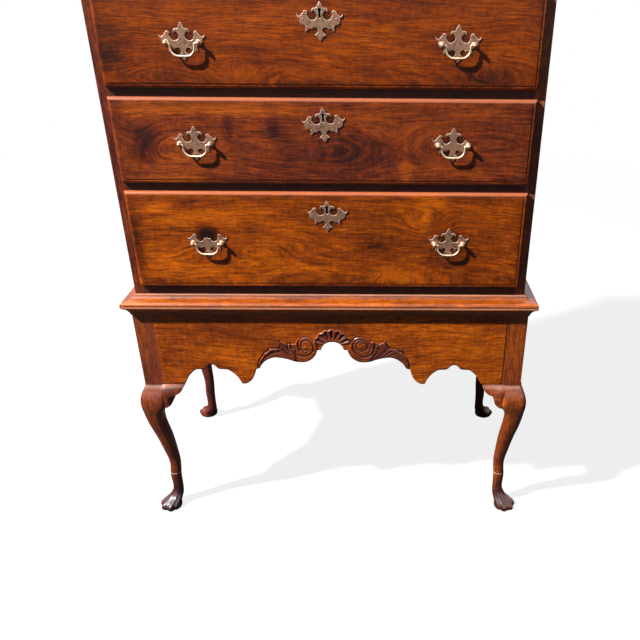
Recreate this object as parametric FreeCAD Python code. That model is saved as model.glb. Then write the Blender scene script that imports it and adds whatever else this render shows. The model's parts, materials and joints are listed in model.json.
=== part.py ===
import FreeCAD, Part
import math
import os

# A walnut high chest: a case of seven lipped drawers standing in a low frame
# with four cabriole legs, a scalloped front apron and a waist moulding.
# Millimetres, +Z up, floor at Z 0. While it is built, Y 0 is the apron's front
# face and Y grows towards the back. Every piece is moved to its origin, the
# middle of its footprint, when it is written.

Vec = FreeCAD.Vector
os.makedirs("parts", exist_ok=True)

# ---- driving dimensions -----------------------------------------------------
# frame
frame_width = 965.0
frame_depth = 490.0
frame_top = 636.0
leg_line = 409.0          # underside of the apron's drops, where the knees begin
post_size = 48.0
post_foot = 345.0         # lower end of the square post, behind the knee
rail_thickness = 22.0
tenon_length = 24.0
tenon_thickness = 8.0
tenon_shoulder = 14.0
joint_gap = 0.1           # glue line round a tenon
knee_reach = 19.4
foot_radius = 28.5
foot_inset = 6.5
ankle_radius = 14.5
ankle_inset = 30.0
back_rail_height = 136.0
return_length = 50.5
return_thickness = 20.0
block_size = 18.0
block_height = 70.0
block_drop = 6.0          # blocks below the frame's top edge

# case
case_setback = 13.0       # case face behind the frame's face, front and sides
side_thickness = 24.0
frieze_height = 67.5      # top rail above the short drawers, behind the cornice
top_thickness = 18.0
bottom_thickness = 20.0
back_thickness = 12.0
back_board_count = 4
back_board_gap = 0.6
rail_depth = 25.0
blade_thickness = 23.0
blade_depth = 70.0
runner_width = 30.0
partition_thickness = 24.0

# drawers, from the lowest up
lip_heights = [227.0, 180.0, 180.0, 154.0]
short_lip_height = 127.0
short_drawer_count = 3
lip_side_overlap = 5.25
lip_top_overlap = 5.0
drawer_proud = 13.0       # how far a drawer's face stands out of the case
lip_seat_gap = 0.3
drawer_floor_gap = 0.5
drawer_side_gap = 1.0
drawer_top_gap = 2.5
drawer_back_gap = 8.0
front_thickness = 25.0
thumbnail_width = 10.0
thumbnail_radius = 6.5
field_step = 1.2
board_thickness = 11.0    # drawer sides and backs
panel_thickness = 7.0
groove_height = 8.0
groove_depth = 5.0
panel_slack = 0.2
dovetail_pitch = 44.0     # about this far from tail to tail
dovetail_pin = 8.0        # pin between two tails, at its narrow end
dovetail_flare = 2.6
dovetail_lap = 10.0       # tails let into the back of the front

# brasses
pull_offset = 277.0       # pull centre from the middle of a long drawer
pull_drop = 3.5           # posts below the drawer's middle
post_spacing = 65.0
plate_thickness = 1.6
plate_width = 91.0
plate_height = 71.5
escutcheon_drop = 54.5    # escutcheon centre below the drawer's top edge
shank_radius = 2.2
shank_gap = 0.2
neck_radius = 3.2
ball_radius = 4.8
ball_stand = 10.0         # bail axis in front of the drawer's face
nut_size = 10.0
nut_thickness = 4.0
thread_gap = 0.05
bail_radius = 2.2
bail_pin_radius = 1.5
bail_pin_gap = 0.3
bail_ball_gap = 0.35
bail_drop = 24.5
bail_corner = 17.0
bail_elbow = 2.7
bail_pin_end = 0.5        # pin's end short of the post's axis
lock_width = 56.0
lock_height = 44.0
lock_thickness = 9.0
keyhole_radius = 3.4
keyhole_slot = 13.0
keyhole_rise = 21.5       # keyhole's round end above the escutcheon's centre

# mouldings
waist_reach = 19.0        # nose of the waist moulding in front of the frame
waist_rise = 20.0         # moulding above and below the frame's top edge
waist_drop = 30.0
case_play = 0.5           # case inside the waist moulding
cornice_reach = 53.0      # nose of the cornice in front of the case
cornice_height = 70.0

# ---- worked out from them ---------------------------------------------------
half_frame = frame_width / 2
half_case = half_frame - case_setback
case_face = case_setback
bottom_rail_top = frame_top + bottom_thickness + blade_thickness
apron_tenon_bottom = leg_line + 2 * tenon_shoulder
back_rail_bottom = frame_top - back_rail_height
back_tenon_bottom = back_rail_bottom + tenon_shoulder
waist_top = frame_top + waist_rise
waist_bottom = frame_top - waist_drop
tenon_top = frame_top - tenon_shoulder
bail_half_width = post_spacing / 2 - ball_radius - bail_ball_gap - bail_elbow
opening_half = half_case - side_thickness
drawer_face = case_face - drawer_proud
lip_thickness = drawer_proud - lip_seat_gap
back_face = frame_depth - back_thickness
post_inner = half_frame - post_size


def box(x0, x1, y0, y1, z0, z1):
    """A block between two corners."""
    return Part.makeBox(x1 - x0, y1 - y0, z1 - z0, Vec(x0, y0, z0))


def path_edges(start, steps, place):
    """Edges through 2-D steps, each (end) for a line or (via, end) for an arc."""
    edges = []
    here = place(*start)
    for step in steps:
        end = place(*step[-1])
        if len(step) == 1:
            edges.append(Part.makeLine(here, end))
        else:
            edges.append(Part.Arc(here, place(*step[0]), end).toShape())
        here = end
    return edges


def mirrored_steps(start, steps, middle=0.0):
    """The same steps walked back on the other side of a middle line."""
    def flip(p):
        return (2 * middle - p[0], p[1])

    ends = [start] + [s[-1] for s in steps]
    back = []
    for i in range(len(steps) - 1, -1, -1):
        via = [flip(steps[i][0])] if len(steps[i]) == 2 else []
        back.append(tuple(via + [flip(ends[i])]))
    return back


def prism(edges, along):
    """A solid from a closed loop of edges, pushed along a vector."""
    wire = Part.Wire(Part.__sortEdges__(edges))
    return Part.Face(wire).extrude(along)


def node(name, solids):
    """Writes one node, its solids moved to the part's own origin."""
    moved = []
    for solid in solids:
        piece = solid.copy()
        piece.translate(Vec(0, -origin_y, 0))
        moved.append(piece)
    shape = moved[0] if len(moved) == 1 else Part.makeCompound(moved)
    shape.exportStep("parts/" + name + ".step")


def mirror_x(shape):
    """The same piece on the other side of the chest."""
    return shape.mirror(Vec(0, 0, 0), Vec(1, 0, 0))


def mirror_y(shape):
    """The same piece at the other end of the frame's depth."""
    return shape.mirror(Vec(0, frame_depth / 2, 0), Vec(0, 1, 0))


# ---- cabriole legs ----------------------------------------------------------
def leg_section(height, inset, half, squareness, toes):
    """A closed section of the leg, square to round, with toe lobes at the foot.

    inset is its centre, in from the frame's corner both ways. The three toes
    spread about the outward diagonal.
    """
    count = 36
    toe_spread = math.radians(50)
    outward = math.radians(225)
    points = []
    for i in range(count):
        angle = 2 * math.pi * i / count
        c, s = abs(math.cos(angle)), abs(math.sin(angle))
        radius = half / (c ** squareness + s ** squareness) ** (1 / squareness)
        off = math.atan2(math.sin(angle - outward), math.cos(angle - outward))
        if abs(off) < 1.5 * toe_spread:
            radius *= 1 + toes * math.cos(2 * math.pi * off / toe_spread)
        points.append(Vec(inset + radius * math.cos(angle), inset + radius * math.sin(angle), height))
    curve = Part.BSplineCurve()
    curve.interpolate(points, PeriodicFlag=True)
    return Part.Wire(curve.toShape())


def leg_blank():
    """Post, knee, ankle and three-toed foot, at the corner X 0, Y 0, growing inwards."""
    knee_half = (post_size + knee_reach) / 2
    knee_inset = (post_size - knee_reach) / 2
    knee = post_foot + 3
    drop = leg_line - knee
    shank = knee - 45
    stations = [
        (0, foot_inset + 1.5, foot_radius - 1.5, 2.0, 0.08),
        (5, foot_inset + 1, foot_radius, 2.0, 0.09),
        (13, foot_inset + 2, foot_radius - 1, 2.0, 0.09),
        (22, foot_inset + 8, foot_radius - 5.5, 2.0, 0.08),
        (32, ankle_inset - 7.5, ankle_radius + 3.3, 2.1, 0.06),
        (45, ankle_inset - 3.5, ankle_radius + 0.2, 2.2, 0.02),
        (45 + shank * 0.18, ankle_inset - 2.3, ankle_radius, 2.3, 0),
        (45 + shank * 0.29, ankle_inset + 0.3, ankle_radius - 0.1, 2.4, 0),
        (45 + shank * 0.45, ankle_inset - 3.2, ankle_radius + 2.0, 2.6, 0),
        (45 + shank * 0.65, ankle_inset - 11.2, ankle_radius + 5.2, 2.8, 0),
        (45 + shank * 0.85, ankle_inset - 21, ankle_radius + 8.0, 3.0, 0),
        (knee - 22, ankle_inset - 21, ankle_radius + 11.2, 3.4, 0),
        (knee, knee_inset, knee_half, 4.5, 0),
        (knee + drop * 0.40, knee_inset + 1.2, knee_half - 1.2, 5.0, 0),
        (knee + drop * 0.77, knee_inset + 6.2, knee_half - 6.2, 7.0, 0),
        (leg_line, post_size / 2, post_size / 2 + 0.2, 12.0, 0),
        (leg_line + 6, post_size / 2, post_size / 2 - 2, 12.0, 0),
    ]
    cabriole = Part.makeLoft([leg_section(*s) for s in stations], True, False)
    post = box(0, post_size, 0, post_size, post_foot, frame_top)
    trim = 2 * knee_reach
    for beyond in (box(post_size, post_size + trim, -trim, post_size + trim, post_foot, frame_top),
                   box(-trim, post_size, post_size, post_size + trim, post_foot, frame_top)):
        cabriole = cabriole.cut(beyond)
    return post.fuse(cabriole).removeSplitter()


def leg(blank, cross_tenon_bottom):
    """A leg with the mortises for the rail across the chest and the side apron."""
    t0 = (rail_thickness - tenon_thickness) / 2 - joint_gap
    t1 = t0 + tenon_thickness + 2 * joint_gap
    deep = post_size - tenon_length - joint_gap
    top = tenon_top + joint_gap
    across = box(deep, post_size, t0, t1, cross_tenon_bottom - joint_gap, top)
    along = box(t0, t1, deep, post_size, apron_tenon_bottom - joint_gap, top)
    made = blank.cut(across).cut(along)
    made.translate(Vec(-half_frame, 0, 0))
    return made


# ---- rails and aprons -------------------------------------------------------
volute_middle = 68.0
volute_radius = 24.0
volute_band = 4.4
volute_step = 5.0
volute_rise = 2.4
arch_radius = 33.0
side_arch_middle = 308.0  # middle of each outer arch, from the chest's middle
side_arch_half = 72.5
shoulder_height = leg_line + 43.5
apron_arch_top = 531.0
apron_scroll_bottom = 475.0
inner_arch_top = 488.0


def front_apron_steps():
    """Half of the front apron's lower edge, from the post to the middle."""
    a = side_arch_middle
    w = side_arch_half
    r = arch_radius
    line = leg_line + 1.5
    hollow = r * 0.4
    peak = shoulder_height + 13.5
    return (post_inner, leg_line), [
        ((a + w + 4, leg_line),),
        ((a + w - 2, line),),
        ((a + w - hollow - 2, line + 25), (a + w - r, shoulder_height - 1)),
        ((a + 21, shoulder_height),),
        ((a + 16, shoulder_height + 2), (a + 12, shoulder_height + 6.5)),
        ((a, peak), (a - 12, shoulder_height + 6.5)),
        ((a - 16, shoulder_height + 2), (a - 21, shoulder_height)),
        ((a - w + r, shoulder_height - 1),),
        ((a - w + hollow, line + 25), (a - w, line)),
        ((a - w - 7, leg_line + 0.5), (a - w - 15, line + 1)),
        ((a - w - 30, line + 15), (a - w - 37.5, shoulder_height)),
        ((a - w - 50, shoulder_height + 4),),
        ((a - w - 65, inner_arch_top - 11), (a - w - 91, inner_arch_top)),
        ((a - w - 117, inner_arch_top - 4), (a - w - 137.5, inner_arch_top - 11)),
        ((62, apron_scroll_bottom + 2), (38, apron_arch_top - 23)),
        ((28, apron_arch_top - 22),),
        ((20.5, apron_arch_top - 7), (0, apron_arch_top)),
    ]


def side_apron_steps():
    """Half of a side apron's lower edge, from the front post to its middle.

    The first value is the distance back from the frame's face.
    """
    middle = frame_depth / 2
    line = leg_line + 1.5
    start = post_size + return_length + 5
    r = arch_radius
    return (post_size, leg_line), [
        ((start, leg_line),),
        ((start + r * 0.4, line + 25), (start + r, shoulder_height - 1)),
        ((start + r + 12, shoulder_height),),
        ((middle - 30, inner_arch_top - 12), (middle, inner_arch_top)),
    ]


def add_tenons(board, near, far, face, runs_back, tenon_bottom):
    """Tenons at both ends of a rail, from its outer face inwards.

    runs_back is True for a rail that runs from front to back.
    """
    t0 = face + (rail_thickness - tenon_thickness) / 2
    t1 = t0 + tenon_thickness
    for a, b in ((near - tenon_length, near), (far, far + tenon_length)):
        if runs_back:
            tongue = box(t0, t1, a, b, tenon_bottom, tenon_top)
        else:
            tongue = box(a, b, t0, t1, tenon_bottom, tenon_top)
        board = board.fuse(tongue)
    return board.removeSplitter()


def volute(middle, height):
    """A raised scroll of half-round turns, each smaller than the last, round an eye."""
    y = -volute_rise
    outer, inner = [], []
    end = height - volute_radius
    first = Vec(middle, y, end)
    radius = volute_radius
    turn = -1
    while radius - volute_band > volute_band:
        centre = end - turn * radius
        for edges, r in ((outer, radius), (inner, radius - volute_band)):
            edges.append(Part.Arc(Vec(middle, y, centre + turn * r), Vec(middle + turn * r, y, centre),
                                  Vec(middle, y, centre - turn * r)).toShape())
        end = centre - turn * radius
        radius -= volute_step
        turn = -turn
    last = Vec(middle, y, end)
    tail = Part.makeLine(first, Vec(middle, y, first.z + volute_band))
    tip = Part.makeLine(last, Vec(middle, y, end + turn * -volute_band))
    return prism(outer + inner + [tail, tip], Vec(0, volute_rise + 1, 0))


def front_apron():
    """The scalloped, carved front apron with its tenons."""
    start, steps = front_apron_steps()
    whole = steps + mirrored_steps(start, steps)
    outline = path_edges(start, whole, lambda x, z: Vec(x, 0, z))
    top = [((-post_inner, frame_top),), ((post_inner, frame_top),), ((post_inner, leg_line),)]
    outline += path_edges((-post_inner, leg_line), top, lambda x, z: Vec(x, 0, z))
    board = prism(outline, Vec(0, rail_thickness, 0))
    flute_count = 7
    flute_spacing = 21.0
    flute_inner = 24.0
    flute_outer = 48.0
    flute_radius = 4.6
    centre = apron_arch_top - 13
    for i in range(flute_count):
        angle = math.radians(90 + flute_spacing * (i - (flute_count - 1) / 2))
        out = Vec(math.cos(angle), 0, math.sin(angle))
        length = flute_outer - flute_inner
        base = Vec(0, -flute_radius * 0.45, centre) + out * flute_inner
        flute = Part.makeCone(flute_radius * 0.55, flute_radius, length, base, out)
        board = board.cut(flute)
    scroll = volute(volute_middle, centre)
    board = board.fuse(scroll).fuse(mirror_x(scroll))
    return add_tenons(board, -post_inner, post_inner, 0, False, apron_tenon_bottom)


def side_apron():
    """The left side's apron."""
    start, steps = side_apron_steps()
    whole = steps + mirrored_steps(start, steps, frame_depth / 2)
    far = frame_depth - post_size

    def place(y, z):
        return Vec(-half_frame, y, z)

    outline = path_edges(start, whole, place)
    outline += path_edges((far, leg_line), [((far, frame_top),), ((post_size, frame_top),), (start,)], place)
    board = prism(outline, Vec(rail_thickness, 0, 0))
    return add_tenons(board, post_size, far, -half_frame, True, apron_tenon_bottom)


def back_rail():
    """The plain rail between the rear legs, set into the same mortises."""
    face = frame_depth - rail_thickness
    board = box(-post_inner, post_inner, face, frame_depth, back_rail_bottom, frame_top)
    return add_tenons(board, -post_inner, post_inner, face, False, back_tenon_bottom)


def knee_return():
    """The scrolled return beside a knee, seen from the front on the right half.

    It hangs from the apron's edge and lies against the post. Its face bulges
    with the knee and thins towards its tip.
    """
    knee = post_foot + 3
    outline_start = (post_inner, leg_line)
    tip = post_inner - return_length
    outline = path_edges(outline_start, [
        ((tip, leg_line),),
        ((tip + 4, leg_line - 13), (tip + 13, leg_line - 24)),
        ((tip + 21, leg_line - 28.5), (tip + 29.5, leg_line - 30)),
        ((tip + 32.5, leg_line - 44),),
        ((tip + 36, leg_line - 54), (post_inner - 6.5, knee)),
        ((post_inner, post_foot),),
        (outline_start,),
    ], lambda x, z: Vec(x, -knee_reach - 5, z))
    slab = prism(outline, Vec(0, knee_reach + 5 + return_thickness, 0))

    def face_section(x, reach):
        edges = path_edges((0, leg_line), [
            ((-reach * 0.62, leg_line - 13), (-reach * 0.9, leg_line - 35)),
            ((-reach, post_foot),),
            ((return_thickness, post_foot),),
            ((return_thickness, leg_line),),
            ((0, leg_line),),
        ], lambda y, z: Vec(x, y, z))
        return Part.Wire(Part.__sortEdges__(edges))

    body = Part.makeLoft([face_section(post_inner, knee_reach - 4), face_section(tip, 4)], True, True)
    blank_there = mirror_x(blank.translated(Vec(-half_frame, 0, 0)))
    return slab.common(body).cut(blank_there)


def side_return():
    """The return beside the left front knee, on the side of the frame."""
    turned = knee_return()
    turned.rotate(Vec(0, 0, 0), Vec(0, 0, 1), -90)
    turned.translate(Vec(-half_frame, half_frame, 0))
    return turned


def corner_blocks():
    """Glue blocks in the inner corners between posts and rails."""
    top = frame_top - block_drop
    blocks = []
    for near in (post_size, rail_thickness):
        other = rail_thickness if near == post_size else post_size
        block = box(-half_frame + near, -half_frame + near + block_size,
                    other, other + block_size, top - block_height, top)
        blocks += [block, mirror_x(block), mirror_y(block), mirror_x(mirror_y(block))]
    return blocks


# ---- mouldings --------------------------------------------------------------
def moulding(profile, half_width, face, across):
    """One mitred length of moulding, the front one or the one on the left side.

    profile is a list of 2-D steps in (outward, height), starting with a point.
    """
    reaches = [step[-1][0] for step in profile]
    low, high = min(reaches), max(reaches)
    bottom, top = -1.0, case_top_height + 1

    def place(u, z):
        if across:
            return Vec(-half_width - high, face - u, z)
        return Vec(-half_width - u, face - high, z)

    length = Vec(2 * (half_width + high), 0, 0) if across else Vec(0, frame_depth - face + high, 0)
    strip = prism(path_edges(profile[0][-1], profile[1:] + [profile[0]], place), length)
    inner_corner = Vec(-half_width - low, face - low, bottom)
    outer_corner = Vec(-half_width - high, face - high, bottom)
    third = Vec(inner_corner.x, outer_corner.y, bottom)
    if across:
        third = Vec(outer_corner.x, inner_corner.y, bottom)
    wedge = Part.Face(Part.makePolygon([inner_corner, outer_corner, third, inner_corner]))
    wedge = wedge.extrude(Vec(0, 0, top - bottom))
    strip = strip.cut(wedge)
    return strip.cut(mirror_x(wedge)) if across else strip


def waist_profile():
    """Ogee top, square nose, quirk and a cove below, seated on the frame's top edge."""
    inner = -case_setback + case_play
    nose = waist_top - 18
    fillet = 9.5
    quirk = nose - fillet - 3
    return [
        ((0, waist_bottom),),
        ((2, waist_bottom),),
        ((4.5, waist_bottom + 8), (waist_reach - 6, quirk)),
        ((waist_reach - 4, quirk),),
        ((waist_reach - 4, nose - fillet),),
        ((waist_reach, nose - fillet),),
        ((waist_reach, nose),),
        ((waist_reach - 4, nose + 5), (waist_reach - 12, nose + 7)),
        ((inner + 9, nose + 9), (inner + 4, waist_top - 2)),
        ((inner, waist_top),),
        ((inner, frame_top),),
        ((0, frame_top),),
    ]


def cornice_profile():
    """Bead, cove, square corona and an ogee that ends at the case's top."""
    low = case_top_height - cornice_height
    out = cornice_reach
    return [
        ((0, low),),
        ((5, low + 3), (5, low + 8)),
        ((8, low + 8),),
        ((14, low + 26), (out - 20, low + 34)),
        ((out - 20, low + 37),),
        ((out - 15, low + 37),),
        ((out - 15, low + 46),),
        ((out - 5, low + 50), (out - 6, low + 60)),
        ((out, low + 62),),
        ((out, case_top_height),),
        ((0, case_top_height),),
    ]


# ---- case -------------------------------------------------------------------
def case_side():
    """The left side board with the rabbet for the backboards."""
    board = box(-half_case, -opening_half, case_face, frame_depth, frame_top, case_top_height)
    rabbet = box(-opening_half - back_thickness, -opening_half, back_face, frame_depth,
                 frame_top, case_top_height)
    return board.cut(rabbet)


def backboards():
    """Horizontal boards nailed into the sides' rabbets."""
    half = opening_half + back_thickness - back_board_gap
    pitch = (case_top_height - frame_top) / back_board_count
    boards = []
    for i in range(back_board_count):
        low = frame_top + i * pitch
        gap = back_board_gap if i < back_board_count - 1 else 0
        boards.append(box(-half, half, back_face, frame_depth, low, low + pitch - gap))
    return boards


def long_drawer_floors():
    """The height of each long opening's floor, and then the short row's floor."""
    floors = [bottom_rail_top]
    for lip in lip_heights:
        floors.append(floors[-1] + lip + drawer_floor_gap - lip_top_overlap + blade_thickness)
    return floors


floors = long_drawer_floors()
short_ceiling = floors[-1] + short_lip_height + drawer_floor_gap - lip_top_overlap
case_top_height = short_ceiling + frieze_height + top_thickness
short_opening = (2 * opening_half - (short_drawer_count - 1) * partition_thickness) / short_drawer_count
short_pitch = short_opening + partition_thickness
short_middles = [(i - (short_drawer_count - 1) / 2) * short_pitch for i in range(short_drawer_count)]
partition_middles = [(a + b) / 2 for a, b in zip(short_middles, short_middles[1:])]


def blades():
    """The rails between the drawer rows."""
    return [box(-opening_half, opening_half, case_face, case_face + blade_depth,
                floor - blade_thickness, floor) for floor in floors[1:]]


def runners():
    """Runners along the sides, and wide ones behind the short row's partitions."""
    made = []
    for level, floor in enumerate(floors):
        front = case_face + (rail_depth if level == 0 else blade_depth)
        left = box(-opening_half, -opening_half + runner_width, front, back_face,
                   floor - blade_thickness, floor)
        made += [left, mirror_x(left)]
    for middle in partition_middles:
        half = partition_thickness / 2 + runner_width
        made.append(box(middle - half, middle + half, case_face + blade_depth, back_face,
                        floors[-1] - blade_thickness, floors[-1]))
    return made


def partitions():
    """Uprights between the short drawers, the full depth of the case."""
    half = partition_thickness / 2
    return [box(m - half, m + half, case_face, back_face, floors[-1], short_ceiling)
            for m in partition_middles]


# ---- brasses ----------------------------------------------------------------
drawn_width = 87.0
drawn_height = 70.5
plate_right_half = [
    ((3.6, 31.5), (3.2, 30.0)),
    ((4.2, 27.0), (7.0, 26.0)),
    ((13.0, 25.5), (14.2, 19.5)),
    ((11.0, 22.0), (7.0, 18.5)),
    ((12.0, 3.5), (24.5, 7.5)),
    ((25.5, 11.5), (23.5, 15.0)),
    ((26.8, 21.5), (31.5, 17.0)),
    ((36.0, 11.5),),
    ((41.0, 12.0), (43.5, 17.5)),
    ((43.8, 9.0), (37.0, 6.5)),
    ((37.0, -2.5), (30.5, -5.0)),
    ((27.5, -7.5),),
    ((28.0, -16.5),),
    ((23.0, -12.5),),
    ((15.5, -13.5),),
    ((8.5, -9.5), (6.0, -18.0)),
    ((10.5, -24.0),),
    ((5.0, -26.5), (0, -34.0)),
]
plate_top = (0, 36.5)


def plate(middle, height, posts):
    """A pierced, pointed backplate on a drawer's face, drilled for its posts."""
    sx = plate_width / drawn_width
    sz = plate_height / drawn_height

    def place(x, z):
        return Vec(middle + x * sx, drawer_face - plate_thickness, height + z * sz)

    whole = plate_right_half + mirrored_steps(plate_top, plate_right_half)
    body = prism(path_edges(plate_top, whole, place), Vec(0, plate_thickness, 0))
    for side in posts:
        hole = Part.makeCylinder(shank_radius + shank_gap, plate_thickness,
                                 Vec(middle + side * post_spacing / 2, drawer_face - plate_thickness, height),
                                 Vec(0, 1, 0))
        body = body.cut(hole)
    return body


def keyhole(middle, height, depth):
    """The keyhole's shape, pushed back through plate and wood."""
    front = drawer_face - plate_thickness
    shape = Part.makeCylinder(keyhole_radius, depth, Vec(middle, front, height), Vec(0, 1, 0))
    half = keyhole_radius * 0.55
    return shape.fuse(box(middle - half, middle + half, front, front + depth, height - keyhole_slot, height))


def pull_post(middle, height):
    """A ball-headed post with its shank through the drawer front."""
    axis = Vec(0, 1, 0)
    ball_y = drawer_face - ball_stand
    tail = front_thickness + nut_thickness + 2 + ball_stand
    ball = Part.makeSphere(ball_radius, Vec(middle, ball_y, height))
    neck = Part.makeCylinder(neck_radius, ball_stand - plate_thickness, Vec(middle, ball_y, height), axis)
    shank = Part.makeCylinder(shank_radius, tail, Vec(middle, ball_y, height), axis)
    return ball.fuse(neck).fuse(shank).removeSplitter()


def bail_hole(middle, height, side):
    """The hole in a post's ball that takes the end of the bail."""
    depth = ball_radius + 2.5
    start = Vec(middle - side * (ball_radius + 1), drawer_face - ball_stand, height)
    return Part.makeCylinder(bail_pin_radius + bail_pin_gap, depth, start, Vec(side, 0, 0))


def nut(middle, height):
    """The square nut on a post's tail, inside the drawer."""
    half = nut_size / 2
    back = drawer_face + front_thickness
    block = box(middle - half, middle + half, back, back + nut_thickness, height - half, height + half)
    bore = Part.makeCylinder(shank_radius + thread_gap, nut_thickness, Vec(middle, back, height), Vec(0, 1, 0))
    return block.cut(bore)


def bail(middle, height):
    """The drop handle: two pins in the posts' balls, two arms and a rounded grip."""
    y = drawer_face - ball_stand
    low = height - bail_drop
    down = Vec(0, 0, -1)

    def bent(start, heading, centre, axis):
        disc = Part.Face(Part.Wire(Part.makeCircle(bail_radius, start, heading)))
        return disc.revolve(centre, axis, 90)

    flat = bail_half_width - bail_corner
    whole = Part.makeCylinder(bail_radius, 2 * flat, Vec(middle - flat, y, low), Vec(1, 0, 0))
    for side in (-1, 1):
        arm_x = middle + side * bail_half_width
        out = Vec(side, 0, 0)
        arm_top = Vec(arm_x, y, height - bail_elbow)
        arm_length = bail_drop - bail_elbow - bail_corner
        arm = Part.makeCylinder(bail_radius, arm_length, arm_top, down)
        corner = bent(Vec(arm_x, y, low + bail_corner), down,
                      Vec(middle + side * flat, y, low + bail_corner), Vec(0, side, 0))
        elbow = bent(arm_top, down, arm_top + out * bail_elbow, Vec(0, side, 0))
        pin_from = Vec(arm_x + side * (bail_elbow - 1), y, height)
        pin_length = post_spacing / 2 - bail_pin_end - bail_half_width - bail_elbow + 1
        pin = Part.makeCylinder(bail_pin_radius, pin_length, pin_from, out)
        whole = whole.fuse(arm).fuse(corner).fuse(elbow).fuse(pin)
    return whole.removeSplitter()


def lock(middle, height):
    """A lock case let against the inside of the drawer front, under its edge."""
    back = drawer_face + front_thickness
    half = lock_width / 2
    case = box(middle - half, middle + half, back, back + lock_thickness,
               height - lock_height * 0.6, height + lock_height * 0.4)
    key_post = Part.makeCylinder(keyhole_radius * 0.45, lock_thickness + 1,
                                 Vec(middle, back - 1, height - keyhole_slot / 3), Vec(0, 1, 0))
    return case.fuse(key_post).removeSplitter()


# ---- drawers ----------------------------------------------------------------
def drawer_front(middle, opening_width, floor, lip_height, holes):
    """A lipped front with a thumbnail edge; its lower edge has no lip behind it."""
    half_lip = opening_width / 2 + lip_side_overlap
    half_box = opening_width / 2 - drawer_side_gap
    low = floor + drawer_floor_gap
    high = low + lip_height
    box_top = high - lip_top_overlap - drawer_top_gap
    face = drawer_face + field_step
    lip = box(middle - half_lip, middle + half_lip, face, drawer_face + lip_thickness, low, high)
    front_edges = [e for e in lip.Edges
                   if all(abs(v.Point.y - face) < 1e-6 for v in e.Vertexes)]
    lip = lip.makeFillet(thumbnail_radius, front_edges)
    w = thumbnail_width
    field = box(middle - half_lip + w, middle + half_lip - w, drawer_face, face + 1, low + w, high - w)
    back = box(middle - half_box, middle + half_box, drawer_face + lip_thickness,
               drawer_face + front_thickness, low, box_top)
    groove = box(middle - half_box, middle + half_box,
                 drawer_face + front_thickness - groove_depth, drawer_face + front_thickness,
                 low + groove_height, low + groove_height + panel_thickness)
    body = lip.fuse(field).fuse(back).removeSplitter().cut(groove)
    for hole in holes:
        body = body.cut(hole)
    return body


def side_faces(middle, opening_width):
    """Outer and inner face of a drawer's two sides."""
    half = opening_width / 2 - drawer_side_gap
    return [(middle + side * half, middle + side * (half - board_thickness)) for side in (-1, 1)]


def dovetails(outer, inner, shoulder, end, low, top):
    """The tails on one end of a drawer side, narrow at the shoulder and wide at their end."""
    count = max(2, round((top - low) / dovetail_pitch))
    pitch = (top - low) / count
    wide = (pitch - dovetail_pin) / 2
    narrow = wide - dovetail_flare
    tails = []
    for i in range(count):
        centre = low + (i + 0.5) * pitch
        corners = [Vec(outer, shoulder, centre - narrow), Vec(outer, end, centre - wide),
                   Vec(outer, end, centre + wide), Vec(outer, shoulder, centre + narrow)]
        face = Part.Face(Part.makePolygon(corners + corners[:1]))
        tails.append(face.extrude(Vec(inner - outer, 0, 0)))
    return tails


def front_tails(middle, opening_width, floor, lip_height):
    """The lapped dovetails of both sides, which are also the sockets in the front."""
    low = floor + drawer_floor_gap
    top = low + lip_height - lip_top_overlap - drawer_top_gap
    shoulder = drawer_face + front_thickness
    tails = []
    for outer, inner in side_faces(middle, opening_width):
        tails.append(dovetails(outer, inner, shoulder, shoulder - dovetail_lap, low, top))
    return tails


def drawer_box(middle, opening_width, floor, lip_height):
    """Two dovetailed and grooved sides, a back and a bottom panel, as separate boards."""
    low = floor + drawer_floor_gap
    top = low + lip_height - lip_top_overlap - drawer_top_gap
    front = drawer_face + front_thickness
    back = back_face - drawer_back_gap
    shoulder = back - board_thickness
    panel_low = low + groove_height
    panel_high = panel_low + panel_thickness
    half = opening_width / 2 - drawer_side_gap
    tail_board = box(middle - half, middle + half, shoulder, back, panel_high, top)
    boards = []
    lapped = front_tails(middle, opening_width, floor, lip_height)
    for (outer, inner), front_end in zip(side_faces(middle, opening_width), lapped):
        x0, x1 = min(outer, inner), max(outer, inner)
        through = dovetails(outer, inner, shoulder, back, panel_high, top)
        tail_board = tail_board.cut(Part.makeCompound(through))
        board = box(x0, x1, front, shoulder, low, top)
        board = board.multiFuse([box(x0, x1, shoulder, back, low, panel_high)] + through + front_end)
        groove_end = inner + math.copysign(groove_depth, outer - inner)
        g0, g1 = min(inner, groove_end), max(inner, groove_end)
        board = board.removeSplitter().cut(box(g0, g1, front - dovetail_lap, back, panel_low, panel_high))
        boards.append(board)
    boards.append(tail_board)
    reach = half - board_thickness + groove_depth - panel_slack
    boards.append(box(middle - reach, middle + reach, front - groove_depth + panel_slack, back,
                      panel_low + panel_slack / 2, panel_high - panel_slack / 2))
    return boards


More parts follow.
